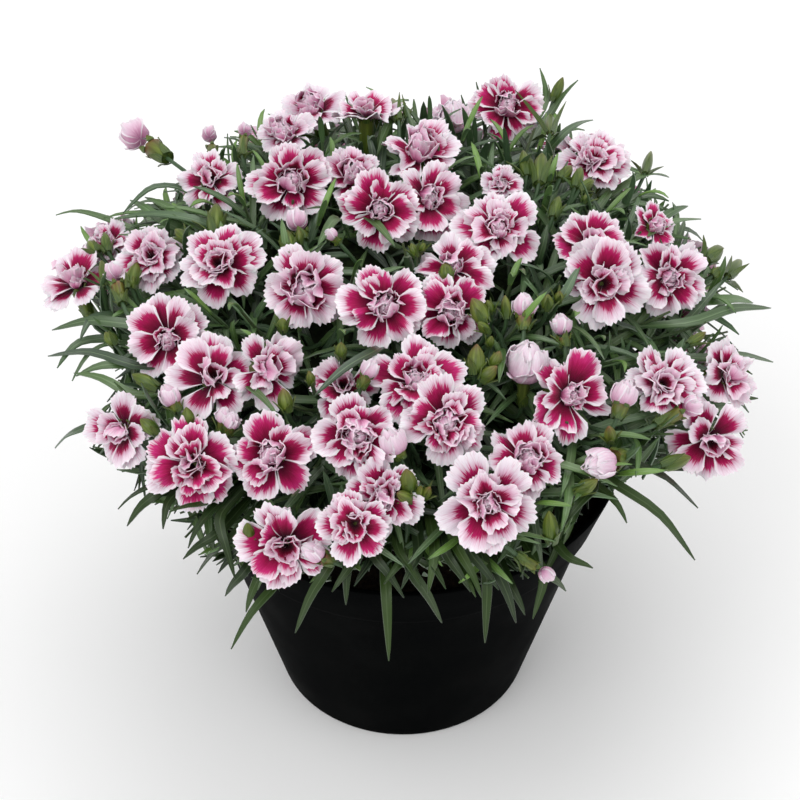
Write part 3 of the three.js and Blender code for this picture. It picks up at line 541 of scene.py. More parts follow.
def layerFlowers(plans):
    # Flowers that would meet are moved apart along their sight lines, the front one forward
    for _ in range(layering["rounds"]):
        for a, low in enumerate(plans):
            for high in plans[a + 1:]:
                apart = high["eye"] - low["eye"]
                reach = (low["width"] + high["width"]) / 2
                if np.linalg.norm(apart) > reach:
                    continue
                mean = unit(low["axis"] + high["axis"])
                above = apart @ mean
                beside = np.linalg.norm(apart - mean * above)
                missing = layering["slope"] * (reach - beside) + layering["least"] - abs(above)
                if missing <= 0:
                    continue
                front, back = (high, low) if above >= 0 else (low, high)
                front["eye"] = front["eye"] + front["way"] * missing * layering["step"]
                back["eye"] = back["eye"] - back["way"] * missing * layering["step"]


flowers = [planFlower(*row[:6], character=row[6:]) for row in blooms]
flowers += [planFlower(*row[:6], half=row[6]) for row in halfOpen]
flowers += hiddenBlooms(flowers)
layerFlowers(flowers)
characterDraw = np.random.RandomState(byChance["seed"])
for number, flower in enumerate(flowers, 1):
    flower["seed"] = standing["seed"] + standing["seedStep"] * (number - 1)
    flower["eye"] = flower["eye"] - outwardAt(flower["eye"]) * drawnIn.get(number, 0)
    if number in nudged:
        flower["eye"] = flower["eye"] + np.array(nudged[number][:3])
        flower["width"] = nudged[number][3]
    if flower["half"]:
        flower["axis"] = unit(flower["axis"] * (1 - standing["upright"]) + upward * standing["upright"])
    below = standing["halfBase" if flower["half"] else "base"]
    flower["base"] = flower["eye"] - flower["axis"] * flower["width"] * below
    flower["size"] = flower["width"] / 2
    flower["first"] = acrossAxis(flower["axis"])
    flower["second"] = np.cross(flower["axis"], flower["first"])
    if not flower["character"]:
        flower["character"] = (characterDraw.choice(byChance["whorls"]),
                               characterDraw.randint(*byChance["folded"]),
                               characterDraw.uniform(*byChance["heart"]))
print("flowers placed:", len(flowers))

# Whorls from the outside in. Reaches and heights are shares of the bloom's radius, angles in radians:
# a rise of 0 lies square to the bloom's axis, and 1.57 stands along it.
whorls = [
    {"petals": 5, "reach": (0.86, 1.02), "halfAngle": 0.58, "startRise": 0.7, "endRise": (-0.35, 0.2),
     "stand": 0.0, "cup": 0.14, "wave": 0.11, "eye": 0.77, "cols": 21, "rows": 8, "turnOff": 0.5,
     "loose": 0.16},
    {"petals": 5, "reach": (0.6, 0.9), "halfAngle": 0.54, "startRise": 0.95, "endRise": (-0.15, 0.4),
     "stand": 0.06, "cup": 0.24, "wave": 0.13, "eye": 0.77, "cols": 19, "rows": 8, "turnOff": 0.05,
     "loose": 0.3},
    {"petals": 4, "reach": (0.4, 0.64), "halfAngle": 0.56, "startRise": 1.15, "endRise": (0.1, 0.7),
     "stand": 0.1, "cup": 0.4, "wave": 0.15, "eye": 0.74, "cols": 15, "rows": 7, "turnOff": 0.5,
     "loose": 0.5},
    {"petals": 3, "reach": (0.28, 0.44), "halfAngle": 0.62, "startRise": 1.25, "endRise": (0.4, 1.0),
     "stand": 0.12, "cup": 0.6, "wave": 0.14, "eye": 0.62, "cols": 13, "rows": 6, "turnOff": 0.2,
     "loose": 0.6},
]
# How much petals of one whorl differ, and the ones that fold up over the heart
varied = {"startRise": (-0.15, 0.15), "halfAngle": (0.86, 1.08), "cup": (0.4, 1.6), "wave": (0.6, 1.5),
          "eye": (0.9, 1.1), "lean": (0.04, 0.2), "leastRun": 0.62, "heartShare": 0.27}
folding = {"startRise": 1.1, "endRise": (1.9, 2.5), "length": (0.62, 0.8), "cup": 0.5, "eye": 0.55,
           "heartShare": 0.85}
crimson = (0.84, 1.08)                            # some blooms are redder than others
paler = {1: 0.84, 2: 0.9, 5: 0.76, 7: 0.9}        # blooms with a small crimson eye
middleOff = {"far": 0.06, "share": (0.3, 1.2), "layer": 0.4}
# The heart: small petals that stand in rings and curl in over the middle, so that their mauve backs
# and white edges show, or a few small scoops where the bloom lies open. A ring has its petals, how
# far from the middle they stand, their length and how far they curl in.
heart = {"least": 0.3, "ball": 0.42, "up": 0.14, "eye": 0.3, "cols": 9, "rows": 6,
         "rings": [(5, 0.45, 1.2, 1.9), (4, 0.3, 1.2, 2.3)], "wave": 0.2}
heartPetal = {"length": (0.8, 1.15), "halfAngle": (0.42, 0.75), "startRise": (1.0, 1.4),
              "endRise": (-0.35, 0.35), "bend": 1.1, "stand": 0.12, "cup": (0.3, 0.9), "eye": (0.5, 0.85),
              "cols": 13, "rows": 7, "lean": (-0.35, 0.35)}
scoop = {"length": (0.34, 0.5), "halfAngle": (0.7, 1.0), "startRise": (0.9, 1.3), "endRise": (0.5, 1.6),
         "bend": 0.9, "stand": 0.14, "cup": (0.5, 1.1), "wave": 0.09, "eye": (0.55, 0.8), "cols": 11,
         "rows": 6, "lean": (-0.25, 0.25)}
# A half-open flower is a wrapped ball and outer petals that have let go, every other one further
halfBall = {"size": 0.82, "bare": 0.66, "bareFrom": 4, "eye": 0.25, "cols": 15, "rows": 9, "heartShare": 0.15}
letGo = {"length": (1.2, 1.45), "halfAngle": 0.66, "bend": 0.8, "stand": 0.1, "cup": 0.45, "wave": 0.12,
         "eye": 0.5, "cols": 17, "rows": 8, "lean": 0.15}
letGoRises = [{"startRise": 0.35, "endRise": (0.5, 1.1)}, {"startRise": 0.9, "endRise": (1.3, 1.8)}]
petalShape = {
    "thickness": 0.24, "foot": 0.05, "bend": 0.55, "claw": 0.9, "unevenCols": 0.32, "rowPower": 0.9,
    "lastRow": 0.93, "corners": (0.11, 0.19), "lobes": (0.022, 0.014), "teeth": (0.35, 1.25),
    "between": (-0.2, 0.2), "tooth": 0.85, "shortTooth": (0.35, 24), "notches": 0.4, "notch": (0.09, 0.09),
    "taper": 0.22, "fine": 0.02,
}


def drawFrom(draw, kind):
    # A pair is drawn between its two numbers, in the order of the dictionary
    return {name: draw.uniform(*value) if isinstance(value, tuple) else value for name, value in kind.items()}


def petalSheet(draw, size, length, halfAngle, startRise, endRise, bend, stand, cup, wave, eye, cols, rows,
               lean, turn, off=(0, 0)):
    shape = petalShape
    even = np.linspace(-1, 1, cols)
    even[1:-1] += draw.uniform(-shape["unevenCols"], shape["unevenCols"], cols - 2) * 2 / (cols - 1)
    t = even[None, :]
    s = np.concatenate([np.linspace(0, shape["lastRow"], rows - 1) ** shape["rowPower"], [1.0]])[:, None]
    phase = draw.uniform(0, 6.28, 5)
    # The rim: round at the corners, softly lobed, cut into small uneven teeth
    soft, sharp = shape["corners"]
    broad, narrow = shape["lobes"]
    rim = length * (1 - soft * t ** 2 - sharp * np.abs(t) ** 4 + broad * np.sin(4.6 * t + phase[0])
                    + narrow * np.sin(9 * t + phase[4]))
    teeth = np.where(np.arange(cols) % 2 == 0, draw.uniform(*shape["teeth"], cols),
                     draw.uniform(*shape["between"], cols))
    rho = s * rim
    least, fullAt = shape["shortTooth"]
    rho[-1] -= teeth * shape["tooth"] * min(1.0, least + length / fullAt)
    if draw.uniform() < shape["notches"]:
        deep, wide = shape["notch"]
        rho *= 1 - deep * np.exp(-((t - draw.uniform(-0.6, 0.6)) / wide) ** 2) * s ** 3
    phi = t * halfAngle * (1 - shape["taper"] + shape["taper"] * s)
    out = rho * np.cos(phi)
    beside = (rho + shape["claw"]) * np.sin(phi)
    # The middle line rises from the claw and bends out
    lines = np.linspace(0, length * 1.03, 40)
    rise = startRise + (endRise - startRise) * (lines / lines[-1]) ** bend
    step = lines[1] - lines[0]
    middle = (rise[1:] + rise[:-1]) / 2
    radial = np.concatenate([[0], np.cumsum(np.cos(middle)) * step])
    axial = np.concatenate([[0], np.cumsum(np.sin(middle)) * step])
    here = np.interp(out, lines, rise)
    ruffle = (rho / length) ** 2
    raised = cup * beside ** 2 / length + lean * beside
    raised = raised + wave * size * ruffle * (np.sin(3.0 * t + phase[1]) + 0.5 * np.sin(6.6 * t + phase[2]))
    raised = (raised + shape["fine"] * size * ruffle * np.sin(15 * t + phase[3])
              + shape["fine"] * size * np.sin(5 * s + phase[3]) * s)
    foot = shape["foot"] * size
    across = foot + np.interp(out, lines, radial) - raised * np.sin(here)
    height = stand * size + np.interp(out, lines, axial) + raised * np.cos(here)
    grid = np.stack([off[0] + across * math.cos(turn) - beside * math.sin(turn),
                     off[1] + across * math.sin(turn) + beside * math.cos(turn), height], -1)
    # The crimson eye ends at a share of how far the petal reaches out, so a steep claw doesn't shrink it
    if endRise < 1.2:
        eye = float(np.interp(eye * (foot + radial[-1]) - foot, radial, lines)) / length
    return grid, (t + 1) / 2, s, eye


# A flower that hasn't opened: petals wrapped over one another round an egg, each tucked under the
# next at one side. The outer ones end short of the tip, and the inner three close it.
wrapped = {
    "outer": {"petals": 4, "half": 0.95, "climb": (2.0, 2.65), "tall": 0.95, "short": 0.14, "uneven": 0.05},
    "inner": {"petals": 3, "half": 1.3, "climb": (3.13, 3.19), "tall": 0.97, "short": 0.015, "uneven": 0.0},
    "innerSize": 0.86, "innerTurn": 0.1, "outerTurn": 0.06, "looser": 0.05, "ragged": 0.11, "spiral": 0.35,
    "tuck": 0.07, "folds": (0.08, 0.06), "frill": 0.17, "flare": 0.22, "dents": 0.07, "egg": 0.16,
    "tall": 1.12, "paleFrom": 0.36,
}


def closedPetals(draw, size, spin, eye, cols, rows):
    petals = []
    t = np.linspace(-1, 1, cols)[None, :]
    s = np.linspace(0, 1, rows)[:, None]
    outer = wrapped["outer"]["petals"]
    for at in range(outer + wrapped["inner"]["petals"]):
        inner = at >= outer
        kind = wrapped["inner" if inner else "outer"]
        place = (at - outer) / kind["petals"] if inner else at / kind["petals"]
        shift = wrapped["innerTurn"] if inner else draw.uniform(-wrapped["outerTurn"], wrapped["outerTurn"])
        turn = spin + (place + shift) * wholeTurn
        layer = wrapped["innerSize"] if inner else 1 - draw.uniform(0, wrapped["looser"])
        half = kind["half"] * (0.55 + 0.5 * np.sin(np.minimum(s * 1.2, 1) * math.pi / 2))
        around = turn + t * half + wrapped["spiral"] * s
        ragged = draw.uniform(0.0, wrapped["ragged"], cols)[None, :] * (s > 0.95)
        ends = 1 - kind["short"] * t ** 2 + kind["uneven"] * np.sin(4 * t + 3 * at) - ragged
        climb = s * ends * draw.uniform(*kind["climb"])
        broad, narrow = wrapped["folds"]
        crumple = 1 + broad * np.sin(3 * t + 2 * at) * s + narrow * np.sin(7 * t + at + 2 * s) * s
        crumple = crumple + wrapped["tuck"] * t * s
        crumple = crumple + wrapped["frill"] * np.sin(9 * t + 3 * at) * s ** 4
        if not inner:           # the tips of the outer ones bend out
            crumple = crumple + wrapped["flare"] * draw.uniform(0.1, 1.0) * s ** 5
        radius = (size * layer * np.maximum(np.sin(climb), 0.0) ** 0.85 * crumple
                  * (1 + wrapped["egg"] * np.cos(climb)))
        height = size * kind["tall"] * wrapped["tall"] * (1 - np.cos(climb))
        height = height * (1 + wrapped["dents"] * np.sin(5 * t + 2.1 * at) * s ** 2)
        petals.append((np.stack([radius * np.cos(around), radius * np.sin(around), height], -1), (t + 1) / 2,
                       wrapped["paleFrom"] + (1 - wrapped["paleFrom"]) * s, eye))
    return petals


def bloomParts(number):
    flower = flowers[number - 1]
    draw = np.random.RandomState(flower["seed"])
    spin = drawer(flower["seed"])() * wholeTurn
    size, half = flower["size"], flower["half"]
    parts = []

    def place(grid, u, v, eye, heartShare):
        spread = (flower["base"] + grid[..., :1] * flower["first"] + grid[..., 1:2] * flower["second"]
                  + grid[..., 2:] * flower["axis"])
        parts.append(sheetPart(spread, petalShape["thickness"], u, v, (draw.uniform(), eye, heartShare)))

    def scaled(kind):
        petal = drawFrom(draw, kind)
        petal["length"] *= size
        return petal

    if half:
        ball = size * halfBall["size" if half < halfBall["bareFrom"] else "bare"]
        for petal in closedPetals(draw, ball, spin, halfBall["eye"], halfBall["cols"], halfBall["rows"]):
            place(*petal, halfBall["heartShare"])
        for at in range(half):
            petal = scaled({**letGo, **letGoRises[at % 2]})
            petal["turn"] = spin + (at + draw.uniform(-0.2, 0.2)) / max(half, 3) * wholeTurn
            place(*petalSheet(draw, size, **petal), 0.3)
        return parts
    layers, folded, heartSize = flower["character"]
    spared = 6 if flower["away"] else 0          # the far side's petals are a little coarser
    reddened = draw.uniform(*crimson) * paler.get(number, 1)
    away = draw.uniform(0, wholeTurn)
    middle = (np.array([math.cos(away), math.sin(away)]) * size * middleOff["far"]
              * draw.uniform(*middleOff["share"]))
    for layer, whorl in enumerate(whorls[:layers]):
        petals = whorl["petals"] + (1 if layer == 0 and layers > 3 else 0)
        foldAt = set(draw.permutation(petals)[:folded].tolist()) if layer == 1 else set()
        for at in range(petals):
            fold = at in foldAt
            startRise = whorl["startRise"] + draw.uniform(*varied["startRise"])
            endRise = draw.uniform(*whorl["endRise"])
            reach = draw.uniform(*whorl["reach"])
            if fold:
                startRise, endRise = folding["startRise"], draw.uniform(*folding["endRise"])
                length = size * draw.uniform(*folding["length"])
            else:
                rise = startRise + (endRise - startRise) * np.linspace(0, 1, 20) ** petalShape["bend"]
                length = (reach - petalShape["foot"]) * size / max(np.mean(np.cos(rise)), varied["leastRun"])
            place(*petalSheet(
                draw, size, length, whorl["halfAngle"] * draw.uniform(*varied["halfAngle"]), startRise,
                endRise, 1.0 if fold else petalShape["bend"], whorl["stand"],
                folding["cup"] if fold else whorl["cup"] * draw.uniform(*varied["cup"]),
                whorl["wave"] * draw.uniform(*varied["wave"]),
                folding["eye"] if fold else whorl["eye"] * reddened * draw.uniform(*varied["eye"]),
                whorl["cols"] - spared, whorl["rows"] - spared // 4, draw.uniform(*varied["lean"]),
                spin + (at + whorl["turnOff"] + draw.uniform(-1, 1) * whorl["loose"]) / petals * wholeTurn,
                middle * layer * middleOff["layer"]),
                folding["heartShare"] if fold else varied["heartShare"] * layer)
    if heartSize >= heart["least"]:
        for grid, u, v, eye in closedPetals(draw, size * heartSize * heart["ball"], spin, heart["eye"],
                                            heart["cols"] - spared // 3, heart["rows"] - spared // 6):
            place(grid + np.array([*middle, size * heart["up"]]), u, v, eye, 1.0)
        for ring, (count, out, tall, curl) in enumerate(heart["rings"]):
            for at in range(count):
                around = spin + (at + 0.5 * ring + draw.uniform(-0.35, 0.35)) / count * wholeTurn
                petal = drawFrom(draw, heartPetal)
                petal["length"] = size * heartSize * tall * petal["length"]
                petal["endRise"] += curl
                petal["cols"] -= spared // 2
                petal["rows"] -= spared // 4
                off = middle + np.array([math.cos(around), math.sin(around)]) * size * heartSize * out
                petal["wave"] = heart["wave"] * heartSize
                place(*petalSheet(draw, size, **petal, turn=around, off=off), 1.0)
    else:
        count = 5 + (1 if layers > 3 else 0)
        for at in range(count):
            petal = scaled(scoop)
            petal["turn"] = spin + (at + draw.uniform(-0.35, 0.35)) / count * wholeTurn
            place(*petalSheet(draw, size, **petal, off=middle), 0.9)
    return parts


for node in sorted(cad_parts):
    if node.startswith("bloom_"):
        members = [int(number) for number in node.split("_")[1:]]
        petals = [part for number in members for part in bloomParts(number)]
        makePiece("petalsOf_" + node[6:], petals, petalSkin, node)
print("blooms made")

stalk = {"radius": 0.85, "calyxFoot": 1.9, "calyxRim": 3.1, "calyxLength": 15, "seat": 0.3, "start": 0.48,
         "slimUnder": 22, "slim": 0.72, "swing": 0.45, "teeth": 3.2, "seed": 900}
calyx = {"steps": [0, 0.03, 0.15, 0.45, 0.8, 1.0], "widths": [-0.6, 0.1, 0.45, 0.7, 0.85, 1.0], "sides": 8,
         "teeth": 5, "toothWidth": 0.47, "toothSunk": 0.6, "bracts": 4, "bractLength": 5.5, "bractWidth": 1.7,
         "flare": 0.2}


def bezier(start, over, end, count):
    part = np.linspace(0, 1, count)[:, None]
    points = (1 - part) ** 2 * start + 2 * (1 - part) * part * over + part ** 2 * end
    ways = 2 * (1 - part) * (over - start) + 2 * part * (end - over)
    return points, ways / np.linalg.norm(ways, axis=1, keepdims=True)


def stalkPart(root, foot, axis, radius, chance):
    rings = 9
    length = np.linalg.norm(foot - root)
    points, ways = bezier(root, foot - axis * length * stalk["swing"], foot, rings)
    return tubePart(points, ways, np.full(rings, radius), 6, (chance, 0.0, 0.0))


def bractPart(foot, axis, turn, radius, length, halfWidth, flare, chance, tan):
    # A pointed scale that stands on a ring about the axis
    first = acrossAxis(axis)
    out = first * math.cos(turn) + np.cross(axis, first) * math.sin(turn)
    side = np.cross(axis, out)
    s = np.array([0, 0.35, 0.7, 1.0])[:, None]
    t = np.array([-1, 0, 1])[None, :]
    width = halfWidth * np.array([0.9, 1.0, 0.62, 0.06])[:, None]
    away = radius + flare * length * s ** 1.5 + 0.15 - 0.25 * np.abs(t) * width / halfWidth
    grid = (foot + out * away[..., None] + side * (t * width)[..., None]
            + axis * (s * length + 0 * t)[..., None])
    return sheetPart(grid, 0.3, (t + 1) / 2, s * 0.8, (chance, tan, 0.0))


def calyxParts(seat, axis, length, footRadius, rimRadius, chance, tan, teeth):
    # A tube with teeth round its rim, and short bracts that hug its foot
    radii = footRadius + (rimRadius - footRadius) * np.array(calyx["widths"])
    centres = seat + axis * (length * (np.array(calyx["steps"]) - 1))[:, None]
    parts = [tubePart(centres, np.tile(axis, (len(centres), 1)), radii, calyx["sides"], (chance, tan, 0.0))]
    for tooth in range(calyx["teeth"]):
        turn = tooth / calyx["teeth"] * wholeTurn + chance * 6
        parts.append(bractPart(seat - axis * calyx["toothSunk"], axis, turn, rimRadius, teeth,
                               teeth * calyx["toothWidth"], calyx["flare"], chance, tan))
    for bract in range(calyx["bracts"]):
        turn = bract / calyx["bracts"] * wholeTurn + 0.4
        parts.append(bractPart(seat - axis * length, axis, turn, footRadius * 0.8,
                               min(calyx["bractLength"], length * 0.5), calyx["bractWidth"], calyx["flare"],
                               chance, tan))
    return parts


stalkParts = []
calyxPieces = []
for at, flower in enumerate(flowers):
    chance = drawer(stalk["seed"] + at)()
    slim = stalk["slim"] if flower["half"] or flower["width"] < stalk["slimUnder"] else 1.0
    seat = flower["base"] + flower["axis"] * stalk["seat"]
    foot = seat - flower["axis"] * stalk["calyxLength"] * slim
    calyxPieces += calyxParts(seat, flower["axis"], stalk["calyxLength"] * slim, stalk["calyxFoot"] * slim,
                              stalk["calyxRim"] * slim, chance, 0.9, stalk["teeth"])
    root = stemRoot(foot, stalk["start"])
    stalkParts.append(stalkPart(root, foot, flower["axis"], stalk["radius"], chance))

# Buds, read off the drawing: foot across and down, tip across and down, width, and how much of the
# length shows petal (0 is a closed green bud)
buds = [
    (167, 158, 127, 129, 33, 0.72), (242, 156, 245, 127, 15, 0.45), (213, 155, 209, 132, 17, 0.75),
    (216, 235, 216, 203, 19, 0.12), (291, 254, 284, 229, 17, 0), (300, 244, 299, 229, 8, 0),
    (339, 243, 327, 231, 12, 0.6), (303, 240, 294, 212, 22, 0.9), (448, 281, 445, 262, 15, 0),
    (190, 243, 175, 229, 13, 0), (399, 121, 392, 98, 12, 0), (408, 118, 404, 104, 8, 0),
    (485, 323, 472, 298, 18, 0), (488, 332, 478, 322, 10, 0), (492, 312, 487, 300, 9, 0),
    (539, 184, 542, 153, 18, 0), (527, 176, 523, 150, 12, 0), (553, 101, 563, 77, 13, 0),
    (550, 134, 550, 114, 13, 0), (560, 179, 572, 166, 13, 0), (575, 188, 581, 167, 13, 0),
    (579, 190, 594, 180, 12, 0), (584, 202, 589, 194, 9, 0), (553, 217, 559, 196, 13, 0),
    (645, 174, 651, 151, 11, 0), (706, 261, 722, 247, 17, 0), (727, 277, 741, 260, 15, 0),
    (712, 276, 722, 268, 11, 0), (547, 310, 548, 294, 13, 0), (507, 318, 505, 295, 10, 0),
    (524, 330, 524, 296, 23, 0.75), (565, 346, 560, 316, 19, 0.85), (558, 302, 560, 291, 10, 0),
    (122, 303, 113, 265, 20, 0.6), (107, 286, 101, 260, 11, 0), (131, 288, 137, 262, 16, 0),
    (98, 253, 88, 241, 13, 0), (108, 252, 104, 232, 11, 0), (115, 345, 105, 332, 13, 0),
    (157, 388, 132, 374, 14, 0), (178, 411, 165, 387, 21, 0.7), (190, 426, 186, 407, 13, 0),
    (221, 431, 225, 409, 15, 0.6), (228, 434, 234, 414, 16, 0.75), (287, 411, 283, 388, 15, 0),
    (157, 433, 140, 419, 14, 0), (361, 388, 373, 361, 18, 0.65), (400, 458, 387, 431, 26, 0.8),
    (476, 374, 477, 344, 18, 0), (482, 380, 497, 366, 14, 0), (492, 367, 500, 351, 12, 0),
    (489, 346, 492, 336, 8, 0), (410, 491, 406, 469, 17, 0), (411, 500, 397, 493, 12, 0),
    (424, 498, 430, 487, 9, 0), (419, 497, 421, 486, 8, 0), (517, 555, 552, 578, 15, 0.55),
    (332, 562, 305, 547, 21, 0.75), (552, 541, 549, 511, 16, 0), (341, 357, 341, 342, 12, 0),
    (617, 418, 627, 383, 25, 0.75), (611, 441, 609, 426, 12, 0), (623, 456, 590, 468, 31, 0.85),
    (576, 493, 598, 479, 14, 0), (656, 425, 700, 402, 20, 0.55), (661, 466, 691, 457, 16, 0),
    (689, 344, 706, 332, 10, 0), (250, 540, 247, 523, 12, 0), (134, 286, 133, 275, 8, 0),
    (416, 256, 411, 243, 9, 0), (420, 252, 425, 243, 8, 0), (312, 384, 309, 371, 9, 0),
    (283, 330, 282, 318, 12, 0),
]
budShape = {
    "deep": 4.0, "raised": 1.5, "perMillimetre": 2.4, "slim": 0.84, "closedUnder": 0.2, "straightFrom": 0.5,
    "calyxGirth": 0.58, "calyxOver": 0.3, "footGirth": 0.62, "teeth": 0.8, "petals": 0.8, "petalsUnder": 1.6,
    "petalEye": 0.12, "heartShare": 0.25, "cols": 11, "rows": 7, "sides": 10, "sepals": 5, "sepalDeep": 0.07,
    "bracts": 4, "bractLength": (0.58, 4.2), "bractVaried": (0.7, 1.3), "bractWidth": 0.44,
    "bractFlare": (0.12, 0.7), "bractTone": (0.4, 0.75), "seed": 4000,
    "profile": [(0, 0.34), (0.04, 0.62), (0.16, 0.9), (0.38, 1.0), (0.58, 0.93), (0.76, 0.7), (0.89, 0.4),
                (0.97, 0.17), (1.0, 0.04)],
}


def addBud(at, fromAcross, fromDown, toAcross, toDown, width, pink):
    shape = budShape
    closed = pink < shape["closedUnder"]
    foot = onMound(fromAcross, fromDown, -shape["deep"])
    tip = onMound(toAcross, toDown, shape["raised"])
    axis = unit(tip - foot)
    length = np.linalg.norm(tip - foot)
    radius = width / shape["perMillimetre"] / 2 * (shape["slim"] if closed else 1)
    draw = np.random.RandomState(shape["seed"] + at)
    chance = draw.uniform()
    bend = unit(axis + outwardAt(foot) + np.array([0, 0, 0.6])) if pink < shape["straightFrom"] else axis
    root = stemRoot(foot, stalk["start"])
    stalkParts.append(stalkPart(root, foot + axis * 0.6, bend, stalk["radius"] * 0.9, chance))
    if closed:          # its sepals pressed together at the tip
        green, girth = length, radius
        turns = np.arange(shape["sides"]) / shape["sides"] * wholeTurn
        profile = np.array(shape["profile"])
        centres = foot + axis * (profile[:, :1] * green)
        lobes = shape["sepalDeep"] * profile[:, :1] * np.cos(shape["sepals"] * turns)[None, :]
        calyxPieces.append(tubePart(centres, np.tile(axis, (len(profile), 1)),
                                    girth * profile[:, 1:] * (1 + lobes), shape["sides"], (chance, 1.0, 0.0)))
    else:               # the calyx stands open round the wrapped petals
        green, girth = length * (1 - pink) + radius * shape["calyxOver"], radius * shape["calyxGirth"]
        calyxPieces.extend(calyxParts(foot + axis * green, axis, green, girth * shape["footGirth"], girth,
                                      chance, 1.0, girth * shape["teeth"]))
        first = acrossAxis(axis)
        second = np.cross(axis, first)
        start = tip - axis * radius * shape["petalsUnder"]
        for grid, u, v, eye in closedPetals(draw, radius * shape["petals"], chance * 6, shape["petalEye"],
                                            shape["cols"], shape["rows"]):
            spread = start + grid[..., :1] * first + grid[..., 1:2] * second + grid[..., 2:] * axis
            budPetals.append(sheetPart(spread, petalShape["thickness"], u, v,
                                       (draw.uniform(), eye, shape["heartShare"])))
    share, least = shape["bractLength"]
    tone, tan = shape["bractTone"]
    for bract in range(shape["bracts"]):
        turn = bract / shape["bracts"] * wholeTurn + chance * 5
        calyxPieces.append(bractPart(foot - axis * 0.5, axis, turn, girth * shape["footGirth"],
                                     max(green * share, least) * draw.uniform(*shape["bractVaried"]),
                                     girth * shape["bractWidth"], draw.uniform(*shape["bractFlare"]),
                                     chance * tone, tan))


budPetals = []
for at, row in enumerate(buds):
    addBud(at, *row)
makePiece("flowerStalks", stalkParts, budSkin, "foliage")
makePiece("calycesAndBuds", calyxPieces, budSkin, "foliage")
makePiece("pinkBudTips", budPetals, petalSkin, "foliage")
print("stalks, calyces and buds made")

leaf = {"width": 4.0, "fold": 0.3, "thickness": 0.45, "shadeFrom": 139, "shadeOver": 32, "upward": 0.5,
        "roll": 0.25, "twist": 0.5, "points": 12, "deep": 6, "raised": 2, "start": 0.5, "seed": 77,
        "lowFrom": 500, "lowFreshAndLit": 0.3, "hangingFrom": 590, "hangingYoung": (0.1, 0.4), "young": (0, 0.3)}

# Leaves that show one by one: from across, from down, to across, to down, how far they arch up
leaves = [
    (95, 215, 56, 215, 5), (182, 187, 123, 213, 14), (200, 220, 112, 219, 6), (190, 222, 145, 197, 3),
    (160, 220, 130, 200, 3), (130, 325, 52, 330, 8), (95, 315, 80, 340, 5), (80, 340, 57, 368, 3),
    (140, 370, 48, 356, 12), (125, 365, 76, 376, 6), (100, 345, 72, 381, 6), (135, 400, 74, 373, 9),
    (80, 430, 55, 448, 4), (150, 488, 118, 509, 5), (155, 495, 127, 526, 6), (167, 500, 163, 529, 4),
    (205, 507, 169, 512, 5), (208, 515, 188, 548, 6), (215, 518, 235, 579, 9), (215, 538, 183, 559, 5),
    (232, 540, 197, 574, 6), (243, 548, 218, 573, 4), (243, 575, 225, 596, 4), (258, 579, 246, 612, 5),
    (276, 588, 231, 649, 10), (331, 567, 295, 633, 10), (347, 563, 346, 605, 6), (369, 554, 404, 598, 7),
    (385, 581, 389, 661, 11), (409, 573, 442, 623, 8), (457, 551, 482, 598, 7), (457, 567, 476, 597, 4),
    (488, 571, 485, 643, 10), (499, 576, 516, 623, 7), (513, 592, 525, 615, 4), (547, 578, 533, 619, 6),
    (548, 100, 540, 68, 3), (552, 112, 578, 80, 4), (565, 132, 593, 120, 3), (640, 176, 669, 177, 3),
    (640, 195, 669, 201, 3), (660, 220, 688, 206, 3), (645, 235, 701, 219, 6), (718, 295, 736, 313, 3),
    (720, 300, 753, 303, 3), (690, 325, 771, 308, 9), (705, 360, 773, 362, 7), (622, 462, 698, 508, 12),
    (620, 488, 695, 560, 13), (612, 498, 627, 523, 4), (600, 485, 558, 533, 6), (570, 562, 593, 568, 4),
    (545, 575, 566, 591, 4), (365, 215, 395, 246, 3), (338, 215, 318, 246, 3), (563, 300, 581, 264, 3),
    (540, 300, 524, 281, 3), (378, 350, 314, 396, 6), (245, 385, 278, 416, 4), (372, 562, 354, 586, 3),
    (420, 556, 401, 589, 4), (428, 560, 446, 589, 3), (445, 556, 471, 592, 4), (396, 552, 421, 586, 4),
    (470, 556, 499, 590, 4), (352, 566, 332, 592, 3), (404, 560, 384, 584, 3), (436, 552, 428, 594, 4),
]


def leafPart(points, width, draw, young, freshAndLit=None):
    # points: the blade's middle line; the blade faces away from the mound and a little up
    ways = np.gradient(points, axis=0)
    ways /= np.linalg.norm(ways, axis=1, keepdims=True)
    out = (points - moundCentre) / moundShape ** 2
    out /= np.linalg.norm(out, axis=1, keepdims=True)
    out = out * leaf["upward"] + np.array([0, 0, 1.0])
    side = np.cross(out, ways)
    side /= np.linalg.norm(side, axis=1, keepdims=True) + 1e-9
    face = np.cross(ways, side)
    s = np.linspace(0, 1, len(points))
    share = (0.5 + 0.5 * np.sin(np.minimum(s / 0.4, 1) * math.pi / 2)) * np.maximum(1 - s ** 3.2, 0) ** 0.85
    share = share + 0.03
    half = width / 2 * share
    roll = draw.uniform(-leaf["roll"], leaf["roll"]) + draw.uniform(-leaf["twist"], leaf["twist"]) * s
    turnedSide = side * np.cos(roll)[:, None] + face * np.sin(roll)[:, None]
    turnedFace = face * np.cos(roll)[:, None] - side * np.sin(roll)[:, None]
    raised = leaf["fold"] * half * (1.15 - 0.5 * s)
    grid = np.stack([points - turnedSide * half[:, None] + turnedFace * raised[:, None],
                     points - turnedFace * 0.05,
                     points + turnedSide * half[:, None] + turnedFace * raised[:, None]], 1)
    # How fresh and lit a leaf is, by its height: low leaves get painted shade and an older colour
    if freshAndLit is None:
        freshAndLit = np.clip((points[:, 2].mean() - leaf["shadeFrom"]) / leaf["shadeOver"], 0.1, 1.0)
    return sheetPart(grid, leaf["thickness"], np.array([[0, 0.5, 1.0]]), s[:, None],
                     (draw.uniform() * freshAndLit, young, freshAndLit))


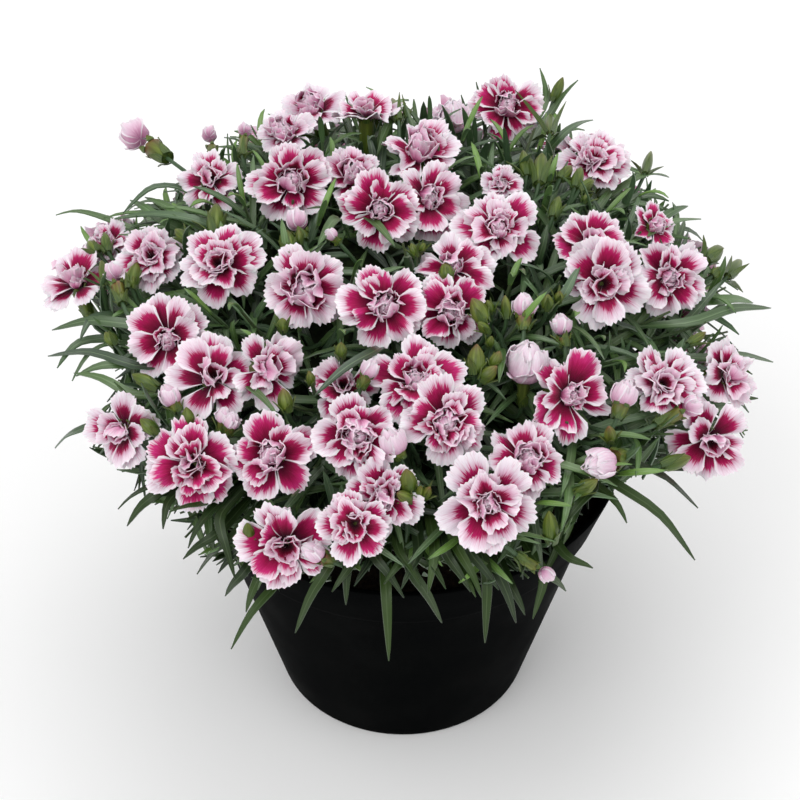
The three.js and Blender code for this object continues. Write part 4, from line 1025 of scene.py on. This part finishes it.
def softCurve(corners, count):
    # A smooth line through four corners
    corners = np.array(corners)
    samples = rounds = 60
    lengths = np.concatenate([[0], np.cumsum(np.linalg.norm(np.diff(corners, axis=0), axis=1))])
    fine = np.linspace(0, lengths[-1], samples)
    line = np.stack([np.interp(fine, lengths, corners[:, axis]) for axis in range(3)], -1)
    for _ in range(rounds):
        line[1:-1] = line[1:-1] * 0.5 + (line[:-2] + line[2:]) * 0.25
    return line[np.linspace(0, samples - 1, count).round().astype(int)]


leafParts = []
draw = np.random.RandomState(leaf["seed"])
for fromAcross, fromDown, toAcross, toDown, arch in leaves:
    start = onMound(fromAcross, fromDown, -leaf["deep"])
    end = onMound(toAcross, toDown, leaf["raised"])
    root = stemRoot(start, leaf["start"])
    over = (start + end) / 2 + np.array([0, 0, arch * 0.5])
    young = draw.uniform(*leaf["hangingYoung" if toDown > leaf["hangingFrom"] else "young"])
    curve = softCurve([start + (root - start) * 0.4, start, over, end], leaf["points"])
    # Leaves low in the drawing get a set amount of painted shade
    freshAndLit = leaf["lowFreshAndLit"] if toDown > leaf["lowFrom"] else None
    leafParts.append(leafPart(curve, leaf["width"], draw, young, freshAndLit))

# Leafy shoots fill the mound: pairs of leaves, each pair turned a quarter from the last. The outer
# ones end near its surface, the inner ones are older and darker and close the view through it.
outerShoots = {"name": "leafBlades", "count": 330, "top": 0.998, "span": 1.628, "depth": (0.84, 1.0),
               "spacing": 7, "shortest": 21, "longer": 8, "young": (0.25, 0.8), "older": (0, 0.34),
               "width": 0.6, "rows": 6, "seed": 505}
innerShoots = {"name": "innerLeaves", "count": 175, "top": 0.995, "span": 1.795, "depth": (0.6, 0.8),
               "spacing": 8, "shortest": 26, "longer": 6, "young": (0.0, 0.1), "older": (0, 0),
               "width": 0.82, "rows": 5, "seed": 606}
shoot = {"pairs": 5, "start": 0.4, "low": 0.6, "up": 0.35, "stem": 30, "stemRings": 7,
         "stemRadii": (1.1, 0.5), "stemSides": 4, "stemTan": 0.15, "first": 1,
         "gaps": (0.85, 1.15), "lean": 0.25, "leanMore": 0.2, "leanVaried": (-0.08, 0.16),
         "lengths": (0.75, 1.2), "droop": (0.1, 0.2), "widths": (0.75, 1.1), "wider": 0.08}
# What the shoots may not reach past, as seen from the camera
outlineOfMound = np.array([
    (118, 210), (152, 196), (180, 178), (205, 150), (235, 128), (270, 102), (310, 84), (360, 84), (400, 100),
    (440, 88), (480, 72), (520, 72), (548, 88), (580, 105), (602, 132), (640, 158), (655, 180), (682, 214),
    (705, 242), (735, 260), (742, 290), (722, 310), (760, 350), (762, 400), (745, 450), (705, 478),
    (660, 470), (640, 480), (622, 498), (596, 505), (572, 528), (556, 560), (540, 585), (500, 592),
    (450, 582), (400, 572), (340, 577), (300, 592), (262, 592), (235, 582), (200, 560), (170, 530),
    (140, 500), (120, 472), (88, 455), (88, 425), (112, 395), (112, 350), (82, 308), (38, 280), (62, 238),
    (92, 212),
], float)
potRoom = {"below": 104, "lip": 119.5, "lipInside": 79, "lipOutside": 88, "wallTop": 118, "wall": 86}
bloomRoom = {"width": 0.97, "below": -1, "slope": 0.2, "above": 24}


def insideOutline(places):
    inside = np.zeros(len(places), bool)
    ahead = np.roll(outlineOfMound, -1, axis=0)
    for (ax, ay), (bx, by) in zip(outlineOfMound, ahead):
        if ay == by:
            continue
        crosses = (ay > places[:, 1]) != (by > places[:, 1])
        inside ^= crosses & (places[:, 0] < (bx - ax) * (places[:, 1] - ay) / (by - ay) + ax)
    return inside.all()


bases, axes, sizes = [np.array([flower[name] for flower in flowers]) for name in ("base", "axis", "size")]


def meetsBloom(points):
    apart = points[:, None] - bases[None]
    along = np.einsum("pfk,fk->pf", apart, axes)
    beside = np.sqrt(np.maximum((apart ** 2).sum(-1) - along ** 2, 0))
    return ((beside < sizes * bloomRoom["width"]) & (along > bloomRoom["below"] + bloomRoom["slope"] * beside)
            & (along < bloomRoom["above"])).any()


def meetsPot(points):
    # The pot's lip and everything inside and below it is kept free
    radius, height = np.hypot(points[:, 0], points[:, 1]), points[:, 2]
    overLip = (height < potRoom["lip"]) & (radius > potRoom["lipInside"]) & (radius < potRoom["lipOutside"])
    outside = (height < potRoom["wallTop"]) & (radius > potRoom["wall"])
    return ((height < potRoom["below"]) | overLip | outside).any()


stemParts = []


def addShoots(shoots, leafParts):
    draw = np.random.RandomState(shoots["seed"])
    kept = dropped = 0
    for at in range(shoots["count"]):
        rise = shoots["top"] - shoots["span"] * (at + 0.5) / shoots["count"]
        turn = at * goldenAngle + draw.uniform(-0.1, 0.1)
        tip = moundPoint(turn, rise, draw.uniform(*shoots["depth"]))
        root = moundPoint(turn + draw.uniform(-0.3, 0.3), rise * shoot["low"], shoot["start"])
        way = unit(unit(tip - root) + np.array([0, 0, shoot["up"]]))
        side = acrossAxis(way)
        stemPoints, stemWays = bezier(root, tip - way * shoot["stem"], tip, shoot["stemRings"])
        leafCount = len(leafParts)
        stemTone = draw.uniform()
        for pair in range(shoot["pairs"]):
            node = tip - way * (shoot["first"] + shoots["spacing"] * pair * draw.uniform(*shoot["gaps"]))
            around = pair * math.pi / 2 + draw.uniform(-0.3, 0.3)
            lean = shoot["lean"] + shoot["leanMore"] * pair + draw.uniform(*shoot["leanVaried"])
            for half in (0, math.pi):
                out = side * math.cos(around + half) + np.cross(way, side) * math.sin(around + half)
                length = (shoots["shortest"] + shoots["longer"] * pair) * draw.uniform(*shoot["lengths"])
                start = way * math.cos(lean) + out * math.sin(lean)
                least, more = shoot["droop"]
                droop = np.array([0, 0, -1.0]) * length * (least + more * draw.uniform())
                over = node + start * length * 0.5
                end = node + (start * 0.8 + out * 0.2) * length * 0.97 + droop
                points, _ = bezier(node, over, end, shoots["rows"])
                checks = points[2:]
                if not insideOutline(onDrawing(checks)) or meetsBloom(checks) or meetsPot(checks):
                    dropped += 1
                    continue
                kept += 1
                young = draw.uniform(*shoots["young" if pair == 0 else "older"])
                wider = shoots["width"] + shoot["wider"] * min(pair, 3)
                width = leaf["width"] * wider * draw.uniform(*shoot["widths"])
                leafParts.append(leafPart(points, width, draw, young))
        if insideOutline(onDrawing(stemPoints)) and len(leafParts) > leafCount + 1:
            radii = np.linspace(*shoot["stemRadii"], shoot["stemRings"])
            stemParts.append(tubePart(stemPoints, stemWays, radii, shoot["stemSides"],
                                      (stemTone, shoot["stemTan"], 0.0)))
    makePiece(shoots["name"], leafParts, leafSkin, "foliage")
    print(shoots["name"], "kept", kept, "left out", dropped)


addShoots(outerShoots, leafParts)
addShoots(innerShoots, [])
makePiece("leafyStems", stemParts, budSkin, "foliage")

# The dark core: an uneven egg in the middle of the mound, coloured with painted shade
shadedCore = {"share": 0.56, "rough": 0.16, "rings": 18, "sides": 36, "seed": 41}


def makeShadedCore():
    draw = np.random.RandomState(shadedCore["seed"])
    steps = np.linspace(0, math.pi, shadedCore["rings"] + 2)[1:-1]
    reach = 1 + shadedCore["rough"] * draw.uniform(-1, 1, (shadedCore["rings"], shadedCore["sides"]))
    centres = moundCentre + np.outer(-np.cos(steps), [0, 0, moundShape[2] * shadedCore["share"]])
    radii = np.sin(steps)[:, None] * moundShape[0] * shadedCore["share"] * reach
    return tubePart(centres, np.tile([0, 0, 1.0], (shadedCore["rings"], 1)), radii, shadedCore["sides"],
                    (0.1, 0.0, 0.0))


makePiece("shadedLeafCore", [makeShadedCore()], shadedCoreSkin, "foliage")
print("leaves made")

# The pot's section is a row of radii and heights, from the middle of its foot round to that of its floor
potShape = {
    "sides": 96, "drains": 6, "drainRadius": 4.5, "drainCircle": 27, "drainSides": 24, "drainDeep": 20,
    "drainHeight": 3.5, "sharpness": 38,
    "profile": [(0, 0), (13, 0), (14.5, 2.4), (39.5, 2.4), (41, 0), (49.8, 0), (50.6, 0.3), (51.1, 1.0),
                (51.5, 2.4), (59.2, 32), (67.3, 63), (75.0, 92.6), (75.6, 94.4), (76.6, 94.9), (77.6, 95.1),
                (78.1, 95.7), (78.4, 97), (81.0, 105), (84.8, 116.4), (84.9, 117.2), (84.5, 117.8),
                (83.9, 118), (83.4, 117.8), (82.8, 117), (79.4, 106), (76.4, 97), (75.6, 95.6), (73.5, 92.4),
                (65.4, 62), (57.4, 31), (49.8, 8), (46.4, 4.6), (0, 4.6)],
}


def makePot():
    shape = potShape
    turns = np.arange(shape["sides"]) / shape["sides"] * wholeTurn
    rings = [ring(radius, height, turns) for radius, height in shape["profile"][1:-1]]
    index, wall = wallFaces(len(rings), shape["sides"])
    mesh = bpy.data.meshes.new("nurseryPot")
    ends = [index[0][::-1].tolist(), index[-1].tolist()]
    mesh.from_pydata(np.concatenate(rings) * metre, [], wall.tolist() + ends)
    pot = bpy.data.objects.new("nurseryPot", mesh)
    bpy.context.scene.collection.objects.link(pot)
    cutters = []
    for at in range(shape["drains"]):
        turn = (at + 0.5) / shape["drains"] * wholeTurn
        out = shape["drainCircle"]
        drain = np.array([math.cos(turn) * out, math.sin(turn) * out, shape["drainHeight"]]) * metre
        bpy.ops.mesh.primitive_cylinder_add(
            vertices=shape["drainSides"], radius=shape["drainRadius"] * metre,
            depth=shape["drainDeep"] * metre, location=drain)
        cutters.append(bpy.context.object)
        cut = pot.modifiers.new("drain", "BOOLEAN")
        cut.object, cut.operation, cut.solver = cutters[-1], "DIFFERENCE", "EXACT"
    bpy.context.view_layer.update()
    pot.data = bpy.data.meshes.new_from_object(pot.evaluated_get(bpy.context.evaluated_depsgraph_get()))
    pot.modifiers.clear()
    for cutter in cutters:
        bpy.data.objects.remove(cutter)
    pot.data.materials.clear()
    finishPiece(pot, potPlastic, "pot", shape["sharpness"])


soilShape = {
    "edge": 77.0, "top": 101, "crown": 2.25, "bumps": (-1.0, 0.9), "bumpHeight": 0.7, "bumpSink": 0.4,
    "rings": 30, "sides": 72, "seed": 31, "sharpness": 80, "crownMiddle": 103.0,
    "bottom": [(40, 4.9), (45.5, 4.9), (49.1, 8.3), (73.1, 93.0), (75.3, 97.3), (76.6, 100.4)],
    "crumbs": 420, "crumbsTo": 0.97, "crumbSize": (0.5, 1.7), "crumbLength": (0.6, 2.2),
    "crumbRings": [-0.5, -0.2, 0.25, 0.5], "crumbRadii": [0.3, 0.55, 0.5, 0.2],
}


def soilHeight(radius):
    return soilShape["top"] + soilShape["crown"] * (1 - (radius / soilShape["edge"]) ** 2)


def makeSoil():
    shape = soilShape
    draw = np.random.RandomState(shape["seed"])
    turns = np.arange(shape["sides"]) / shape["sides"] * wholeTurn
    rows = [ring(radius, float(height), turns) for radius, height in shape["bottom"]]
    for at in range(shape["rings"]):
        radius = shape["edge"] * (1 - (at + 0.5) / shape["rings"])
        bumps = draw.uniform(*shape["bumps"], shape["sides"])
        rows.append(ring(radius, soilHeight(radius) + bumps * shape["bumpHeight"] - shape["bumpSink"], turns))
    points = np.concatenate([*rows, [[0, 0, shape["bottom"][0][1]]], [[0, 0, shape["crownMiddle"]]]])
    parts = [(points, closedFaces(len(rows), shape["sides"]), np.zeros((len(points), 2)),
              np.zeros((len(points), 4)))]
    for _ in range(shape["crumbs"]):          # loose crumbs and fibres on top
        away, turn = shape["edge"] * shape["crumbsTo"] * math.sqrt(draw.uniform()), draw.uniform(0, wholeTurn)
        size = draw.uniform(*shape["crumbSize"])
        centre = np.array([away * math.cos(turn), away * math.sin(turn), soilHeight(away)])
        axis = unit(draw.normal(size=3))
        length = size * draw.uniform(*shape["crumbLength"])
        centres = centre + np.outer(shape["crumbRings"], axis) * length
        parts.append(tubePart(centres, np.tile(axis, (len(centres), 1)),
                              size * np.array(shape["crumbRadii"]), 4, (0.0, 0.0, 0.0)))
    return parts


makePot()
makePiece("peatSoil", makeSoil(), peat, "soil", sharpness=soilShape["sharpness"])
print("pot and soil made")

# Soft boxes: place in metres, width in metres, watts
studio = {"floor": "#fbfbfb", "floorSkin": {"Roughness": 0.9, "Specular IOR Level": 0.1}, "reach": 6.0,
          "world": 0.7, "aim": (0, 0, 0.15), "key": ((-0.7, -0.9, 1.5), 1.1, 11),
          "fill": ((1.1, -0.7, 0.9), 1.2, 4), "top": ((0.1, 0.5, 1.6), 1.2, 7)}


def makeStudio():
    scene = bpy.context.scene
    material, add = newMaterial("matt white studio card")
    card = add("BsdfPrincipled", {"Base Color": studio["floor"], **studio["floorSkin"]})
    add("OutputMaterial", {"Surface": card})
    mesh = bpy.data.meshes.new("studioFloor")
    reach = studio["reach"]
    corners = [(-reach, -reach, 0), (reach, -reach, 0), (reach, reach, 0), (-reach, reach, 0)]
    mesh.from_pydata(corners, [], [(0, 1, 2, 3)])
    mesh.materials.append(material)
    floor = bpy.data.objects.new("studioFloor", mesh)
    scene.collection.objects.link(floor)
    scene.world = bpy.data.worlds.new("studio")
    scene.world.use_nodes = True
    background = scene.world.node_tree.nodes["Background"]
    background.inputs[0].default_value = (1, 1, 1, 1)
    background.inputs[1].default_value = studio["world"]
    for name in ("key", "fill", "top"):
        place, size, power = studio[name]
        lamp = bpy.data.lights.new(name, "AREA")
        lamp.size, lamp.energy = size, power
        light = bpy.data.objects.new(name, lamp)
        scene.collection.objects.link(light)
        light.location = place
        aim = np.array(studio["aim"]) - np.array(place)
        down = math.acos(-aim[2] / np.linalg.norm(aim))
        light.rotation_euler = (down, 0, math.atan2(aim[1], aim[0]) - math.pi / 2)
    lens = bpy.data.cameras.new("studioCamera")
    lens.sensor_width = camera["sensor"]
    lens.lens = camera["focal"] * camera["sensor"] / (2 * camera["middle"])
    lens.clip_start, lens.clip_end = camera["near"], camera["far"]
    viewer = bpy.data.objects.new("studioCamera", lens)
    scene.collection.objects.link(viewer)
    viewer.location = eyePlace * metre
    viewer.rotation_euler = (math.pi / 2 - tilt, 0, 0)
    scene.camera = viewer
    scene.view_settings.view_transform = "Standard"
    scene.view_settings.look = "None"


makeStudio()
print("studio made")
